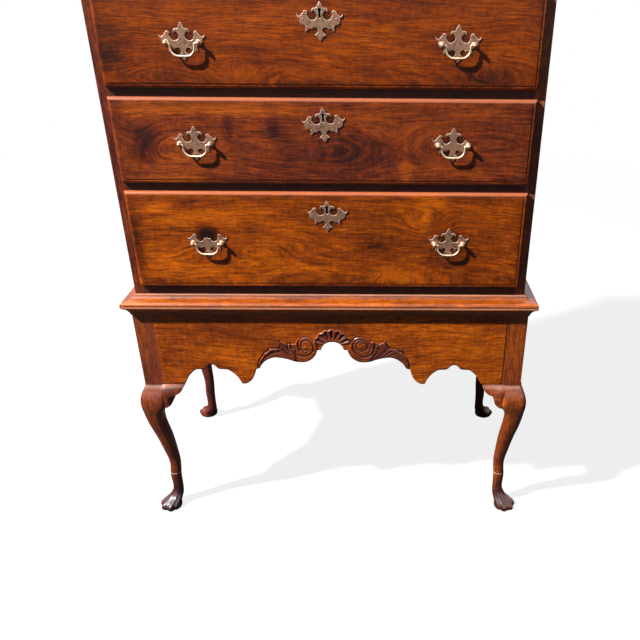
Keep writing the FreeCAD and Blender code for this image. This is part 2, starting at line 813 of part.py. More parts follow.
def make_drawer(name, middle, opening_width, floor, lip_height, pulls, locked):
    """Writes one drawer's front, box, hardware and bails."""
    low = floor + drawer_floor_gap
    pull_height = low + lip_height / 2 - pull_drop
    key_height = low + lip_height - escutcheon_drop + keyhole_rise
    posts = [(middle + p + side * post_spacing / 2, side) for p in pulls for side in (-1, 1)]
    hardware = []
    holes = [Part.makeCompound(tails) for tails in front_tails(middle, opening_width, floor, lip_height)]
    for x, side in posts:
        hardware.append(pull_post(x, pull_height).cut(bail_hole(x, pull_height, side)))
        hardware.append(nut(x, pull_height))
        holes.append(Part.makeCylinder(shank_radius + shank_gap, front_thickness,
                                       Vec(x, drawer_face, pull_height), Vec(0, 1, 0)))
    for p in pulls:
        hardware.append(plate(middle + p, pull_height, (-1, 1)))
    if locked:
        depth = front_thickness + plate_thickness
        opening = keyhole(middle, key_height, depth)
        holes.append(opening)
        hardware.append(plate(middle, low + lip_height - escutcheon_drop, ()).cut(opening))
        hardware.append(lock(middle, key_height))
    node(name + "_front", [drawer_front(middle, opening_width, floor, lip_height, holes)])
    node(name + "_box", drawer_box(middle, opening_width, floor, lip_height))
    node(name + "_hardware", hardware)
    for p in pulls:
        label = "" if len(pulls) == 1 else ("_left" if p < 0 else "_right")
        node(name + "_bail" + label, [bail(middle + p, pull_height)])


# ---- write every node -------------------------------------------------------
blank = leg_blank()
leg_reach = -blank.optimalBoundingBox(False).YMin
origin_y = (frame_depth + leg_reach - (cornice_reach - case_setback)) / 2
front_leg = leg(blank, apron_tenon_bottom)
rear_leg = mirror_y(leg(blank, back_tenon_bottom))
node("leg_front_left", [front_leg])
node("leg_front_right", [mirror_x(front_leg)])
node("leg_rear_left", [rear_leg])
node("leg_rear_right", [mirror_x(rear_leg)])
node("front_apron", [front_apron()])
left_apron = side_apron()
node("side_apron_left", [left_apron])
node("side_apron_right", [mirror_x(left_apron)])
node("back_rail", [back_rail()])
right_return = knee_return()
node("knee_returns_front", [right_return, mirror_x(right_return)])
front_side_return = side_return()
rear_side_return = mirror_y(front_side_return)
node("knee_returns_sides", [front_side_return, rear_side_return,
                            mirror_x(front_side_return), mirror_x(rear_side_return)])
node("corner_blocks", corner_blocks())

for label, profile, half, face in (("waist_moulding_", waist_profile(), half_frame, 0),
                                   ("cornice_", cornice_profile(), half_case, case_face)):
    node(label + "front", [moulding(profile, half, face, True)])
    left_length = moulding(profile, half, face, False)
    node(label + "left", [left_length])
    node(label + "right", [mirror_x(left_length)])

left_side = case_side()
node("case_side_left", [left_side])
node("case_side_right", [mirror_x(left_side)])
node("case_top", [box(-opening_half, opening_half, case_face, back_face,
                      case_top_height - top_thickness, case_top_height)])
node("case_bottom", [box(-opening_half, opening_half, case_face + rail_depth, back_face,
                         frame_top, floors[0] - blade_thickness)])
node("bottom_rail", [box(-opening_half, opening_half, case_face, case_face + rail_depth,
                         frame_top, bottom_rail_top)])
node("top_rail", [box(-opening_half, opening_half, case_face, case_face + rail_depth,
                      short_ceiling, case_top_height - top_thickness)])
node("backboards", backboards())
node("drawer_blades", blades())
node("drawer_runners", runners())
node("short_drawer_partitions", partitions())

for level, lip in enumerate(lip_heights):
    make_drawer("long_drawer_%d" % (level + 1), 0.0, 2 * opening_half, floors[level], lip,
                (-pull_offset, pull_offset), True)
for place_name, middle in zip(("left", "middle", "right"), short_middles):
    make_drawer("short_drawer_" + place_name, middle, short_opening, floors[-1], short_lip_height,
                (0.0,), False)
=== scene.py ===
import json
import math

import bmesh
import bpy
import numpy as np
from mathutils import Matrix, Vector
from mathutils.bvhtree import BVHTree


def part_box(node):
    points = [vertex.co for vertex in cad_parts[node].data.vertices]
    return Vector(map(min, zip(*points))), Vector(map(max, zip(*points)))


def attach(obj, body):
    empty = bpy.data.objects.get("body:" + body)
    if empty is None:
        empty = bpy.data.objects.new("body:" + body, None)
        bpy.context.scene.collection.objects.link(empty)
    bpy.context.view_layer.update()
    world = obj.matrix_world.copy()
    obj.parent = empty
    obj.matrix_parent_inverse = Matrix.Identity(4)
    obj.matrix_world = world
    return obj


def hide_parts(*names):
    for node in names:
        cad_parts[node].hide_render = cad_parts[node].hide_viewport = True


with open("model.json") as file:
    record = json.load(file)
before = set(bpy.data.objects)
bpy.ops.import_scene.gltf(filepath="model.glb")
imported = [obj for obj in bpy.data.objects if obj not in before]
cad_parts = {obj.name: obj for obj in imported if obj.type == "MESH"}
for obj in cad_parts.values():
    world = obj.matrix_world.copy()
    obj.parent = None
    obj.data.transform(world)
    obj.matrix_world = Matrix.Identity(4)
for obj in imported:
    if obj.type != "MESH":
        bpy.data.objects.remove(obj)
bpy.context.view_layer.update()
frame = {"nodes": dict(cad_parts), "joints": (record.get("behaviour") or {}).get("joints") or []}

# A walnut high chest on a low frame: figured drawer fronts with pierced brasses,
# a carved apron and cabriole legs. Metres, +Z up, -Y towards the drawer fronts.

MM = 0.001
TENON = 24 * MM  # half the width of a post
APRON_THICKNESS = 22 * MM
FRONT_THICKNESS = 25 * MM
BACKBOARDS = 4
POST_SPACING = 65 * MM
PLATE_THICKNESS = 1.6 * MM
ESCUTCHEON_DROP = 54.5 * MM
KEYHOLE_RISE = 21.5 * MM

nodes = frame["nodes"]
joints = {joint["name"]: joint for joint in frame["joints"]}
long_drawers = ["long_drawer_%d" % level for level in (1, 2, 3, 4)]
short_drawers = ["short_drawer_" + place for place in ("left", "middle", "right")]
apron_low, apron_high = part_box("front_apron")
frame_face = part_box("side_apron_left")[0].y - TENON
returns_low, returns_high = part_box("knee_returns_front")
knee_side = max(returns_high.x, -returns_low.x)


def pulls_of(drawer):
    """The drawer's bails, each as its name and the middle of its pivot."""
    bails = [drawer + "_bail" + side for side in ("", "_left", "_right")]
    return [(bail, *joints[bail + "_swing"]["pos_m"]) for bail in bails if bail + "_swing" in joints]


# ---- colours and node trees ----
def srgb(red, green, blue):
    """A colour as a paint chart gives it, turned into the light it reflects."""
    def light(value):
        value /= 255
        return value / 12.92 if value <= 0.04045 else ((value + 0.055) / 1.055) ** 2.4
    return (light(red), light(green), light(blue), 1.0)


WHITE = (1, 1, 1, 1)


class Graph:
    """Builds one node tree. An input takes a plain value or another node's output."""

    def __init__(self, tree):
        self.tree = tree

    def node(self, kind, inputs=(), **settings):
        made = self.tree.nodes.new(kind)
        for key, value in settings.items():
            setattr(made, key, value)
        for key, value in dict(inputs).items():
            if isinstance(value, bpy.types.NodeSocket):
                self.tree.links.new(value, made.inputs[key])
            else:
                made.inputs[key].default_value = value
        return made

    def math(self, operation, *values):
        return self.node("ShaderNodeMath", enumerate(values), operation=operation).outputs[0]

    def vector(self, operation, *values):
        made = self.node("ShaderNodeVectorMath", enumerate(values), operation=operation)
        return made.outputs["Value" if operation == "LENGTH" else "Vector"]

    def coordinate(self, kind="Object"):
        return self.node("ShaderNodeTexCoord").outputs[kind]

    def point(self, x=0.0, y=0.0, z=0.0):
        return self.node("ShaderNodeCombineXYZ", {0: x, 1: y, 2: z}).outputs[0]

    def parts(self, point):
        return self.node("ShaderNodeSeparateXYZ", {0: point}).outputs

    def noise(self, place, scale=1.0, detail=2.0, roughness=0.5):
        inputs = {"Vector": place, "Scale": scale, "Detail": detail, "Roughness": roughness}
        return self.node("ShaderNodeTexNoise", inputs).outputs["Fac"]

    def stretched(self, place, stretch, detail=2.0, roughness=0.5):
        """Noise whose grain size differs along, across and into the board."""
        return self.noise(self.vector("MULTIPLY", place, stretch), 1.0, detail, roughness)

    def spread(self, value, low, high, start=0.0, end=1.0, smooth=False):
        inputs = {"Value": value, "From Min": low, "From Max": high, "To Min": start, "To Max": end}
        kind = "SMOOTHSTEP" if smooth else "LINEAR"
        return self.node("ShaderNodeMapRange", inputs, interpolation_type=kind).outputs[0]

    def mix(self, factor, first, second, blend="MIX"):
        return self.node("ShaderNodeMix", {0: factor, 6: first, 7: second},
                         data_type="RGBA", blend_type=blend).outputs[2]

    def grey(self, value):
        return self.node("ShaderNodeCombineColor", {0: value, 1: value, 2: value}).outputs[0]

    def shade(self, colour, value, *span, **manner):
        """The colour, darkened or lightened by a value that is spread to about 1."""
        return self.mix(1.0, colour, self.grey(self.spread(value, *span, **manner)), "MULTIPLY")

    def ramp(self, value, stops):
        made = self.node("ShaderNodeValToRGB", {0: value})
        elements = made.color_ramp.elements
        while len(elements) < len(stops):
            elements.new(0.5)
        for element, (position, colour) in zip(elements, stops):
            element.position = position
            element.color = colour if isinstance(colour, tuple) else (colour, colour, colour, 1)
        return made.outputs[0]

    def bump(self, height, strength, distance):
        inputs = {"Height": height, "Strength": strength, "Distance": distance}
        return self.node("ShaderNodeBump", inputs).outputs[0]

    def seen_from(self, flat, along, across, size, turn=0.0):
        """The board's face measured from a point of it, in steps of the given size."""
        inputs = {"Vector": flat, "Location": (along, across, 0), "Rotation": (0, 0, math.radians(turn)),
                  "Scale": (*size, 1)}
        return self.node("ShaderNodeMapping", inputs, vector_type="TEXTURE").outputs[0]

    def spot(self, flat, along, across, half_length, half_width, turn=0.0):
        """1 in the middle of an oval on the board's face, 0 outside it."""
        off = self.seen_from(flat, along, across, (half_length, half_width), turn)
        return self.spread(self.vector("LENGTH", off), 0.0, 1.0, 1.0, 0.0, smooth=True)


def new_material(name):
    made = bpy.data.materials.new(name)
    made.use_nodes = True
    made.node_tree.nodes.clear()
    return made, Graph(made.node_tree)


def finish_material(graph, **sockets):
    names = {key.replace("_", " ").title().replace("Ior", "IOR"): value for key, value in sockets.items()}
    shader = graph.node("ShaderNodeBsdfPrincipled", names)
    graph.node("ShaderNodeOutputMaterial", {"Surface": shader.outputs[0]})


# ---- walnut ----
RINGS_PER_M = 180.0
GRAIN_ORDER = {"along_x": "XZY", "along_z_front": "ZXY", "along_z_side": "ZYX", "along_y": "YZX"}
MOST = (0.34, 0.66)  # the range in which most of a noise lies
LIP = 8 * MM  # width of a lipped front's rounded edge
QUIRK = 9.2 * MM  # middle of the small step inside it


def shades(red, green, blue):
    """The dark, middle and light tones of one board, from its middle tone."""
    return (srgb(red * 0.4, green * 0.37, blue * 0.66 + 6), srgb(red, green, blue),
            srgb(red * 1.42, green * 1.62, blue * 1.1))


GOLD_WALNUT = shades(140, 59, 4)
WARM_WALNUT = shades(132, 53, 10)
RED_WALNUT = shades(120, 49, 21)
# SHADED_WALNUT is painted shade: a dark tone for the rails and blades in the drawers' shadow and the right
# rear leg under the case; the case top shares it
SHADED_WALNUT = shades(66, 34, 28)
# the left side's tone is darkened as painted shade, the right side's lightened as painted light where the
# lamp leaves it dark
SIDE_WALNUT = {"left": shades(98, 40, 24), "right": shades(138, 74, 58)}
# the rear legs' darker tones are painted shade under the case, the right rear one darkest
LEG_WALNUT = {("front", "left"): shades(116, 49, 27), ("front", "right"): shades(132, 57, 19),
              ("rear", "left"): shades(104, 44, 30), ("rear", "right"): SHADED_WALNUT}


def board_place(graph, grain, seed):
    """A point of the board's face, and (along, across, depth) shifted so that no two are alike."""
    parts = graph.parts(graph.coordinate())
    along, across, depth = (parts[letter] for letter in GRAIN_ORDER[grain])
    flat = graph.point(along, across)
    place = graph.point(along, across, depth)
    return flat, graph.vector("ADD", place, (seed * 3.7, seed * 1.3, seed * 2.1))


def grain_field(graph, flat, place, heart, ring, swells):
    """Distance from the tree's heart, whose even steps are the year rings."""
    along, across, depth, slant = heart
    sway = graph.spread(graph.stretched(place, (2.1, 1.6, 3.0)), 0, 1, -0.035, 0.035)
    curl = graph.spread(graph.stretched(place, (7.0, 14.0, 14.0), 3.0), 0, 1, -0.007, 0.007)
    off = graph.seen_from(flat, along, across, (1 / slant, 1))
    swayed = graph.vector("ADD", off, graph.point(0.0, sway, depth))
    field = graph.math("ADD", graph.vector("LENGTH", swayed), curl)
    for *oval, lift in swells:
        field = graph.math("MULTIPLY_ADD", graph.spot(flat, *oval), lift, field)
    return graph.math("DIVIDE", field, ring)


def figure_noise(graph, figure, along, rings, detail=2.0, roughness=0.55):
    """Streaks that run along the board and bend with its rings."""
    return graph.stretched(figure, (along, rings, rings * RINGS_PER_M), detail, roughness)


def lipped_edges(graph, colour, flat, place, face):
    """A lipped front's edges: ragged dark polish, a lip lightened as painted highlight, a paler painted
    highlight along its top, and painted shade in the quirk.
    """
    low_along, high_along, low_across, high_across = face
    middle = ((low_along + high_along) / 2, (low_across + high_across) / 2, 0)
    off = graph.vector("ABSOLUTE", graph.vector("SUBTRACT", flat, middle))
    half = ((high_along - low_along) / 2, (high_across - low_across) / 2, 0)
    inset = graph.parts(graph.vector("SUBTRACT", half, off))
    nearest = graph.math("MINIMUM", inset[0], inset[1])
    ragged = graph.math("MULTIPLY_ADD", graph.noise(place, 45.0), 14 * MM, nearest)
    colour = graph.shade(colour, ragged, 14 * MM, 36 * MM, 0.8, 1.0, smooth=True)
    # painted highlight: the rounded lip is lightened
    colour = graph.shade(colour, nearest, LIP - 0.5 * MM, LIP + 0.5 * MM, 1.35, 1.0)
    # painted shade: a dark line in the quirk's small step
    off_quirk = graph.math("ABSOLUTE", graph.math("SUBTRACT", nearest, QUIRK))
    colour = graph.shade(colour, off_quirk, 0.4 * MM, 1.6 * MM, 0.76, 1.0)
    # painted highlight: the top of the lip turns paler and pinker where it faces the light
    from_top = graph.math("SUBTRACT", high_across, graph.parts(flat)[1])
    return graph.mix(graph.spread(from_top, 5 * MM, 7.5 * MM, 0.6, 0.0), colour, srgb(184, 106, 72))


def walnut(name, grain="along_x", tones=WARM_WALNUT, seed=0.0, heart=(0.1, 0.35, 0.03, 0.12), ring=0.005,
           swells=(), patches=(), marks=(), painted_highlights_and_rubs=(), edges=None, bias=0.0, carved=False, contrast=1.0,
           gloss=0.3):
    """Old varnished walnut, one board at a time.

    heart is where the rings centre: along, across, depth and how much they stretch.
    swells push the rings apart, patches lighten or darken, marks are dark stains, cracks and
    lines of painted shade, the pale lines are painted highlights, apart from a pale worn ring
    at the ankles (along, across, half length, half width, share), edges is the board's face
    (low along, high along, low across, high across), whose lip gets painted highlight and shade.
    """
    made, graph = new_material("walnut_" + name)
    flat, place = board_place(graph, grain, seed)
    field = grain_field(graph, flat, place, heart, ring, swells)
    parts = graph.parts(place)
    figure = graph.point(parts[0], field, parts[2])
    clouds = graph.spread(graph.stretched(place, (6.0, 16.0, 16.0), 4.0, 0.65), 0.32, 0.68, -0.2, 0.2)
    bands = graph.spread(figure_noise(graph, figure, 5.0, 0.3, 3.0, 0.65), *MOST, -0.08, 0.08)
    streaks = figure_noise(graph, figure, 13.0, 0.8, 6.0, 0.85)
    ripple = graph.spread(graph.stretched(place, (120.0, 45.0, 45.0), 3.0, 0.7), *MOST, -0.1, 0.1)
    tone = graph.math("ADD", graph.math("ADD", clouds, bands),
                      graph.math("ADD", ripple, graph.spread(streaks, *MOST, -0.3, 0.3)))
    tone = graph.math("MULTIPLY_ADD", tone, contrast, 0.5 + bias)
    for *oval, change in patches:
        tone = graph.math("MULTIPLY_ADD", graph.spot(flat, *oval), 1.25 * change, tone)
    colour = graph.ramp(tone, [(0.0, tones[0]), (0.48, tones[1]), (1.0, tones[2])])

    line = graph.ramp(graph.math("FRACT", field),
                      [(0.0, 0.55), (0.12, 1.0), (0.6, 1.0), (0.86, 0.62), (1.0, 0.55)])
    strength = graph.spread(figure_noise(graph, figure, 5.0, 0.45), 0.38, 0.66, 0.02, 0.36)
    fibres = figure_noise(graph, figure, 24.0, 1.9, 3.0, 0.7)
    pores = graph.stretched(place, (110.0, 1100.0, 1100.0), 1.0)
    colour = graph.mix(1.0, colour, graph.mix(strength, WHITE, line), "MULTIPLY")
    colour = graph.shade(colour, fibres, *MOST, 0.52, 1.46)
    colour = graph.shade(colour, pores, 0.28, 0.47, 0.5, 1.0)
    # stains and cracks, and lines of painted shade, darken the colour
    for *oval, change in marks:
        colour = graph.shade(colour, graph.spot(flat, *oval), 0, 1, 1.0, change)
    # pale lines: painted highlights, and a pale worn ring at the ankles
    for *oval, share in painted_highlights_and_rubs:
        painted_highlight_and_rub = graph.math("MULTIPLY", graph.spot(flat, *oval), share)
        colour = graph.mix(painted_highlight_and_rub, colour, srgb(232, 190, 170))
    if edges:
        colour = lipped_edges(graph, colour, flat, place, edges)
    # the carving's own darker tint, and near-black painted shade in its grooves and on its lower edge
    if carved:
        worn, painted_shade = (graph.node("ShaderNodeAttribute", attribute_name=label).outputs["Fac"]
                      for label in ("carved", "recess"))
        colour = graph.mix(graph.math("MULTIPLY", worn, 0.72), colour, srgb(84, 40, 34))
        colour = graph.mix(painted_shade, colour, srgb(30, 12, 9))
    rough = graph.spread(streaks, 0.3, 0.7, 0.42, 0.3)
    height = graph.math("MULTIPLY_ADD", fibres, 0.5, graph.math("MULTIPLY", pores, 0.5))
    finish_material(graph, base_color=colour, roughness=rough, normal=graph.bump(height, 0.1, 0.5 * MM),
                    specular_ior_level=gloss, coat_weight=0.18, coat_roughness=0.12)
    return made


# ---- other finishes ----
def secondary_wood(node, name, grain="along_x", seed=0.0, tone=(196, 150, 98), boards=None):
    """Dresses a CAD node as planed, unfinished wood, browned and dusty with age.

    boards is the lowest edge, the highest edge and how many boards lie between them.
    """
    made, graph = new_material(name)
    flat, place = board_place(graph, grain, seed)
    if boards:
        lowest, highest, count = boards
        width = (highest - lowest) / count
        board = graph.math("DIVIDE", graph.math("SUBTRACT", graph.parts(flat)[1], lowest), width)
        number = graph.math("FLOOR", board)
        place = graph.vector("ADD", place, graph.point(number))
        inner = graph.math("MINIMUM", graph.math("MAXIMUM", board, 0.5), count - 0.5)
        seam = graph.math("MULTIPLY", graph.math("PINGPONG", inner, 0.5), width)
    red, green, blue = tone
    streaks = graph.stretched(place, (5.0, 120.0, 120.0), 3.0, 0.6)
    stain = graph.stretched(place, (4.0, 6.0, 6.0), 4.0, 0.6)
    saw = graph.stretched(place, (420.0, 12.0, 12.0), 1.0)
    colour = graph.ramp(graph.spread(stain, 0.3, 0.7),
                        [(0.0, srgb(red * 0.52, green * 0.47, blue * 0.42)),
                         (0.55, srgb(red * 0.86, green * 0.82, blue * 0.78)), (1.0, srgb(red, green, blue))])
    colour = graph.shade(colour, streaks, 0.3, 0.7, 0.74, 1.12)
    colour = graph.shade(colour, saw, 0.3, 0.7, 0.93, 1.05)
    if boards:
        own_tone = graph.math("SINE", graph.math("MULTIPLY", number, 2.3))
        colour = graph.shade(colour, own_tone, -1, 1, 0.8, 1.15)
        colour = graph.shade(colour, seam, 1 * MM, 3.5 * MM, 0.22, 1.0)
    bump = graph.bump(graph.math("ADD", streaks, saw), 0.3, 0.8 * MM)
    finish_material(graph, base_color=colour, roughness=graph.spread(stain, 0, 1, 0.72, 0.9), normal=bump)
    paint(nodes[node].data, made)


def brass(name, clean, dull, polish):
    """Old cast brass: a tarnished face, cleaner where it is rubbed."""
    made, graph = new_material(name)
    place = graph.coordinate()
    stain = graph.noise(place, 95.0, 4.0, 0.65)
    pits = graph.noise(place, 900.0)
    colour = graph.ramp(graph.spread(stain, 0.32, 0.68), [(0.0, dull), (0.6, clean), (1.0, clean)])
    colour = graph.shade(colour, pits, 0.3, 0.7, 0.85, 1.08)
    bump = graph.bump(pits, 0.25, 0.4 * MM)
    rough = graph.spread(stain, 0.3, 0.7, polish + 0.16, polish)
    finish_material(graph, base_color=colour, roughness=rough, normal=bump, metallic=0.72)
    return made


def dark_iron(name):
    """Lock plates, nuts and nails: brown-black hand-worked iron."""
    made, graph = new_material(name)
    rust = graph.noise(graph.coordinate(), 140.0, 4.0, 0.65)
    colour = graph.ramp(graph.spread(rust, 0.35, 0.7),
                        [(0.0, srgb(48, 42, 38)), (0.6, srgb(74, 58, 46)), (1.0, srgb(112, 66, 38))])
    bump = graph.bump(rust, 0.4, 0.6 * MM)
    finish_material(graph, base_color=colour, roughness=graph.spread(rust, 0, 1, 0.4, 0.75),
                    normal=bump, metallic=0.7)
    return made


# ---- mesh helpers ----
ARRIS = math.radians(35)  # sharper edges than this are eased


def new_object(name, data):
    made = bpy.data.objects.new(name, data)
    bpy.context.scene.collection.objects.link(made)
    return made


def piece(name, mesh, body, slot, *replaced):
    """Puts a finished mesh on its body, in place of the CAD nodes it stands for."""
    made = new_object(name, mesh)
    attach(made, body)
    if replaced:
        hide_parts(*replaced)


def paint(mesh, material):
    """Gives a CAD mesh its finish, in place of what it has."""
    mesh.materials.clear()
    mesh.materials.append(material)


def plain_mesh(made, name):
    """The object's evaluated shape as a mesh, with the object and its modifiers gone."""
    graph = bpy.context.evaluated_depsgraph_get()
    mesh = bpy.data.meshes.new_from_object(made.evaluated_get(graph), depsgraph=graph)
    mesh.name = name
    bpy.data.objects.remove(made)
    return mesh


def eased(material, name, width=0.6 * MM, body="chest", reshape=None):
    """The CAD node with its arrises softened, as planes and two centuries leave them."""
    mesh = nodes[name].data.copy()
    work = bmesh.new()
    work.from_mesh(mesh)
    bmesh.ops.remove_doubles(work, verts=work.verts, dist=0.01 * MM)
    bmesh.ops.dissolve_limit(work, angle_limit=math.radians(0.5), verts=work.verts, edges=work.edges)
    if reshape:
        reshape(work)
    work.to_mesh(mesh)
    work.free()
    mesh.shade_smooth()
    mesh.set_sharp_from_angle(angle=ARRIS)
    made = new_object(name + "_eased", mesh)
    if width:
        ease = made.modifiers.new("ease", "BEVEL")
        ease.width = width
        ease.segments = 2
        ease.limit_method = "ANGLE"
        ease.angle_limit = ARRIS
    made.modifiers.new("weigh", "WEIGHTED_NORMAL").keep_sharp = True
    mesh = plain_mesh(made, name + "_eased")
    paint(mesh, material)
    piece(name + "_eased", mesh, body, "walnut", name)


# ---- wood of each board ----
MOULDING_EASE = 0.3 * MM
RAIL_EASE = 0.4 * MM
LEG_MIDDLE = 0.458  # from the middle of the chest
KNEE_TOP = 0.403  # height of the line where post and knee meet
ANKLE = 0.1075  # height of the ring above the foot
# Each front's figure. Swells, patches and marks are given in millimetres.
DRAWER_WOOD = {
    "long_drawer_1": dict(
        tones=GOLD_WALNUT, heart=(-0.2, 0.7, 0.035, 0.06), ring=0.0056, bias=0.04,
        swells=[(-200, 830, 420, 100, -0.028), (-190, 775, 210, 45, -0.03), (-60, 770, 60, 22, 0.012),
            (225, 835, 85, 45, 0.034), (170, 700, 70, 30, 0.026)],
        patches=[(232, 885, 60, 40, 0.35), (215, 838, 45, 35, 0.3), (165, 705, 90, 35, 0.35),
            (-280, 735, 260, 60, 0.2), (-300, 850, 160, 30, 0.22), (120, 775, 110, 60, -0.2),
            (320, 775, 140, 90, -0.22), (-275, 815, 40, 26, -0.45), (-440, 790, 30, 130, -0.34),
            (400, 702, 20, 14, -0.4), (-380, 870, 50, 20, 0.35), (40, 850, 200, 30, -0.14)],
        marks=[(-277, 803, 48, 42, 0, 0.34), (-105, 777, 34, 2.6, -36, 0.15),
            (-112, 722, 2.2, 42, 0, 0.55), (256, 862, 40, 2, -30, 0.45), (205, 852, 34, 1.8, 40, 0.55)]),
    "long_drawer_2": dict(
        tones=RED_WALNUT, heart=(0.146, 1.004, 0.014, 0.06), ring=0.0056, bias=0.04,
        swells=[(146, 1004, 130, 60, 0.026), (-400, 1020, 70, 70, 0.016)],
        patches=[(-205, 1050, 18, 50, -0.28), (-108, 1048, 28, 55, -0.28), (-300, 960, 200, 40, 0.16),
            (330, 1080, 140, 24, 0.14), (-385, 1015, 60, 60, -0.4), (-355, 1084, 130, 24, 0.6),
            (-150, 1082, 170, 24, 0.45), (175, 955, 22, 40, 0.5), (-340, 935, 120, 16, 0.5),
            (50, 995, 260, 80, -0.3), (360, 1000, 110, 60, 0.02)]),
    "long_drawer_3": dict(
        tones=shades(118, 46, 8), heart=(-0.168, 1.143, 0.01, 0.09), ring=0.0048, bias=0.07,
        swells=[(335, 1152, 50, 22, 0.01), (-168, 1143, 120, 36, 0.024)],
        patches=[(-40, 1240, 360, 60, 0.14), (-430, 1190, 70, 120, -0.3), (400, 1235, 130, 90, 0.04),
            (330, 1152, 70, 26, -0.26), (60, 1200, 240, 40, 0.2), (-170, 1150, 120, 30, 0.1),
            (-30, 1134, 100, 22, -0.25)]),
    "long_drawer_4": dict(
        tones=WARM_WALNUT, heart=(0.19, 1.36, 0.008, 0.3), ring=0.0046, bias=0.02,
        swells=[(-240, 1420, 90, 40, 0.03)],
        patches=[(-80, 1430, 200, 40, 0.26), (400, 1400, 90, 90, -0.34), (-400, 1380, 100, 80, -0.22)]),
    "short_drawer_left": dict(
        tones=WARM_WALNUT, heart=(-0.33, 1.53, 0.006, 0.34), ring=0.0044,
        patches=[(-300, 1600, 120, 30, 0.26)]),
    "short_drawer_middle": dict(
        tones=GOLD_WALNUT, heart=(0.05, 1.52, 0.01, 0.4), ring=0.0046,
        patches=[(60, 1520, 80, 40, -0.26)]),
    "short_drawer_right": dict(
        tones=WARM_WALNUT, heart=(0.26, 1.59, 0.012, 0.3), ring=0.0044, bias=-0.04,
        patches=[(350, 1550, 80, 50, 0.24)]),
}


def front_wood(name):
    """A front's figure in metres, and its own marks after the stains and painted shade round its brasses."""
    wood = dict(DRAWER_WOOD[name])
    for key in ("swells", "patches", "marks"):
        wood[key] = [tuple(value / 1000 for value in row[:4]) + row[4:] for row in wood.get(key, ())]
    wood["marks"] = polish_stains_and_shade_round_brasses(name) + wood["marks"]
    return wood


def polish_stains_and_shade_round_brasses(drawer):
    """Dark stains where two centuries of polish have caught round the plates, with a tighter core of painted
    shade in their openings.
    """
    polish_and_shade = []
    for _, x, _, z in pulls_of(drawer):
        # a wide stain of caught polish, then a tighter core of painted shade
        polish_and_shade += [(x, z - 1 * MM, 0.05, 0.044, 0, 0.4), (x, z - 1 * MM, 0.036, 0.034, 0, 0.3)]
    if drawer in long_drawers:
        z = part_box(drawer + "_front")[1].z - ESCUTCHEON_DROP
        # the same round the escutcheon: a polish stain, then a core of painted shade
        polish_and_shade += [(0.0, z, 0.048, 0.046, 0, 0.45), (0.0, z + 2 * MM, 0.036, 0.036, 0, 0.3)]
    return polish_and_shade


def glue_to_knee(work):
    """Draws the front returns' ends on into the knees that they are glued to."""
    outward, inward = 12 * MM, 4 * MM
    ends = [face for face in work.faces if all(abs(v.co.x) > knee_side - 0.1 * MM for v in face.verts)]
    for face in bmesh.ops.extrude_discrete_faces(work, faces=ends)["faces"]:
        for vertex in face.verts:
            vertex.co += Vector((math.copysign(outward, vertex.co.x), inward, 0))


def dress_drawers():
    """Each drawer's front and the boards of its box."""
    for index, name in enumerate(DRAWER_WOOD):
        low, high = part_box(name + "_front")
        front = walnut(name, seed=1.0 + index, edges=(low.x, high.x, low.z, high.z), **front_wood(name))
        eased(front, name + "_front", 0.5 * MM, name)
        secondary_wood(name + "_box", "drawer_boards_%d" % index, "along_y", 20.0 + index)


def dress_sides():
    """What stands on the left and on the right: case sides, side aprons, mouldings and legs."""
    post = dict(grain="along_z_front", heart=(0.5, 0.3, 0.04, 0.05), ring=0.004, contrast=0.9, gloss=0.5)
    for index, side in enumerate(("left", "right")):
        eased(walnut("side_" + side, "along_z_side", SIDE_WALNUT[side], 31.0 + index,
                     heart=(0.9, 0.05, 0.03, 0.14), ring=0.006), "case_side_" + side)
        eased(walnut("side_apron_" + side, "along_y", seed=35.0 + index, heart=(0.0, 0.9, 0.03, 0.1)),
              "side_apron_" + side)
        moulding = walnut("waist_" + side, "along_y", seed=37.0 + index, heart=(0.0, 1.1, 0.03, 0.1))
        for name in ("waist_moulding_", "cornice_"):
            eased(moulding, name + side, MOULDING_EASE)
        x = (2 * index - 1) * LEG_MIDDLE
        # a thin dark line of painted shade where the post meets the knee's ledge
        post["marks"] = [(KNEE_TOP + 5.5 * MM, x, 0.002, 0.12, 0, 0.2)]
        front = walnut("leg_front_" + side, seed=41.0 + index, tones=LEG_WALNUT["front", side],
                       patches=[(0.52, x, 0.16, 0.12, 0.14), (0.02, x, 0.1, 0.12, -0.4)],
                       # a painted highlight along the knee top, and a pale worn ring at the ankle
                       painted_highlights_and_rubs=[(KNEE_TOP, x, 0.008, 0.12, 0.22), (ANKLE, x, 0.0022, 0.12, 0.85)], **post)
        # the rear legs are darkened further as painted shade
        rear = walnut("leg_rear_" + side, seed=43.0 + index, tones=LEG_WALNUT["rear", side],
                      bias=-0.08, **post)
        eased(front, "leg_front_" + side, 0)
        eased(rear, "leg_rear_" + side, 0)


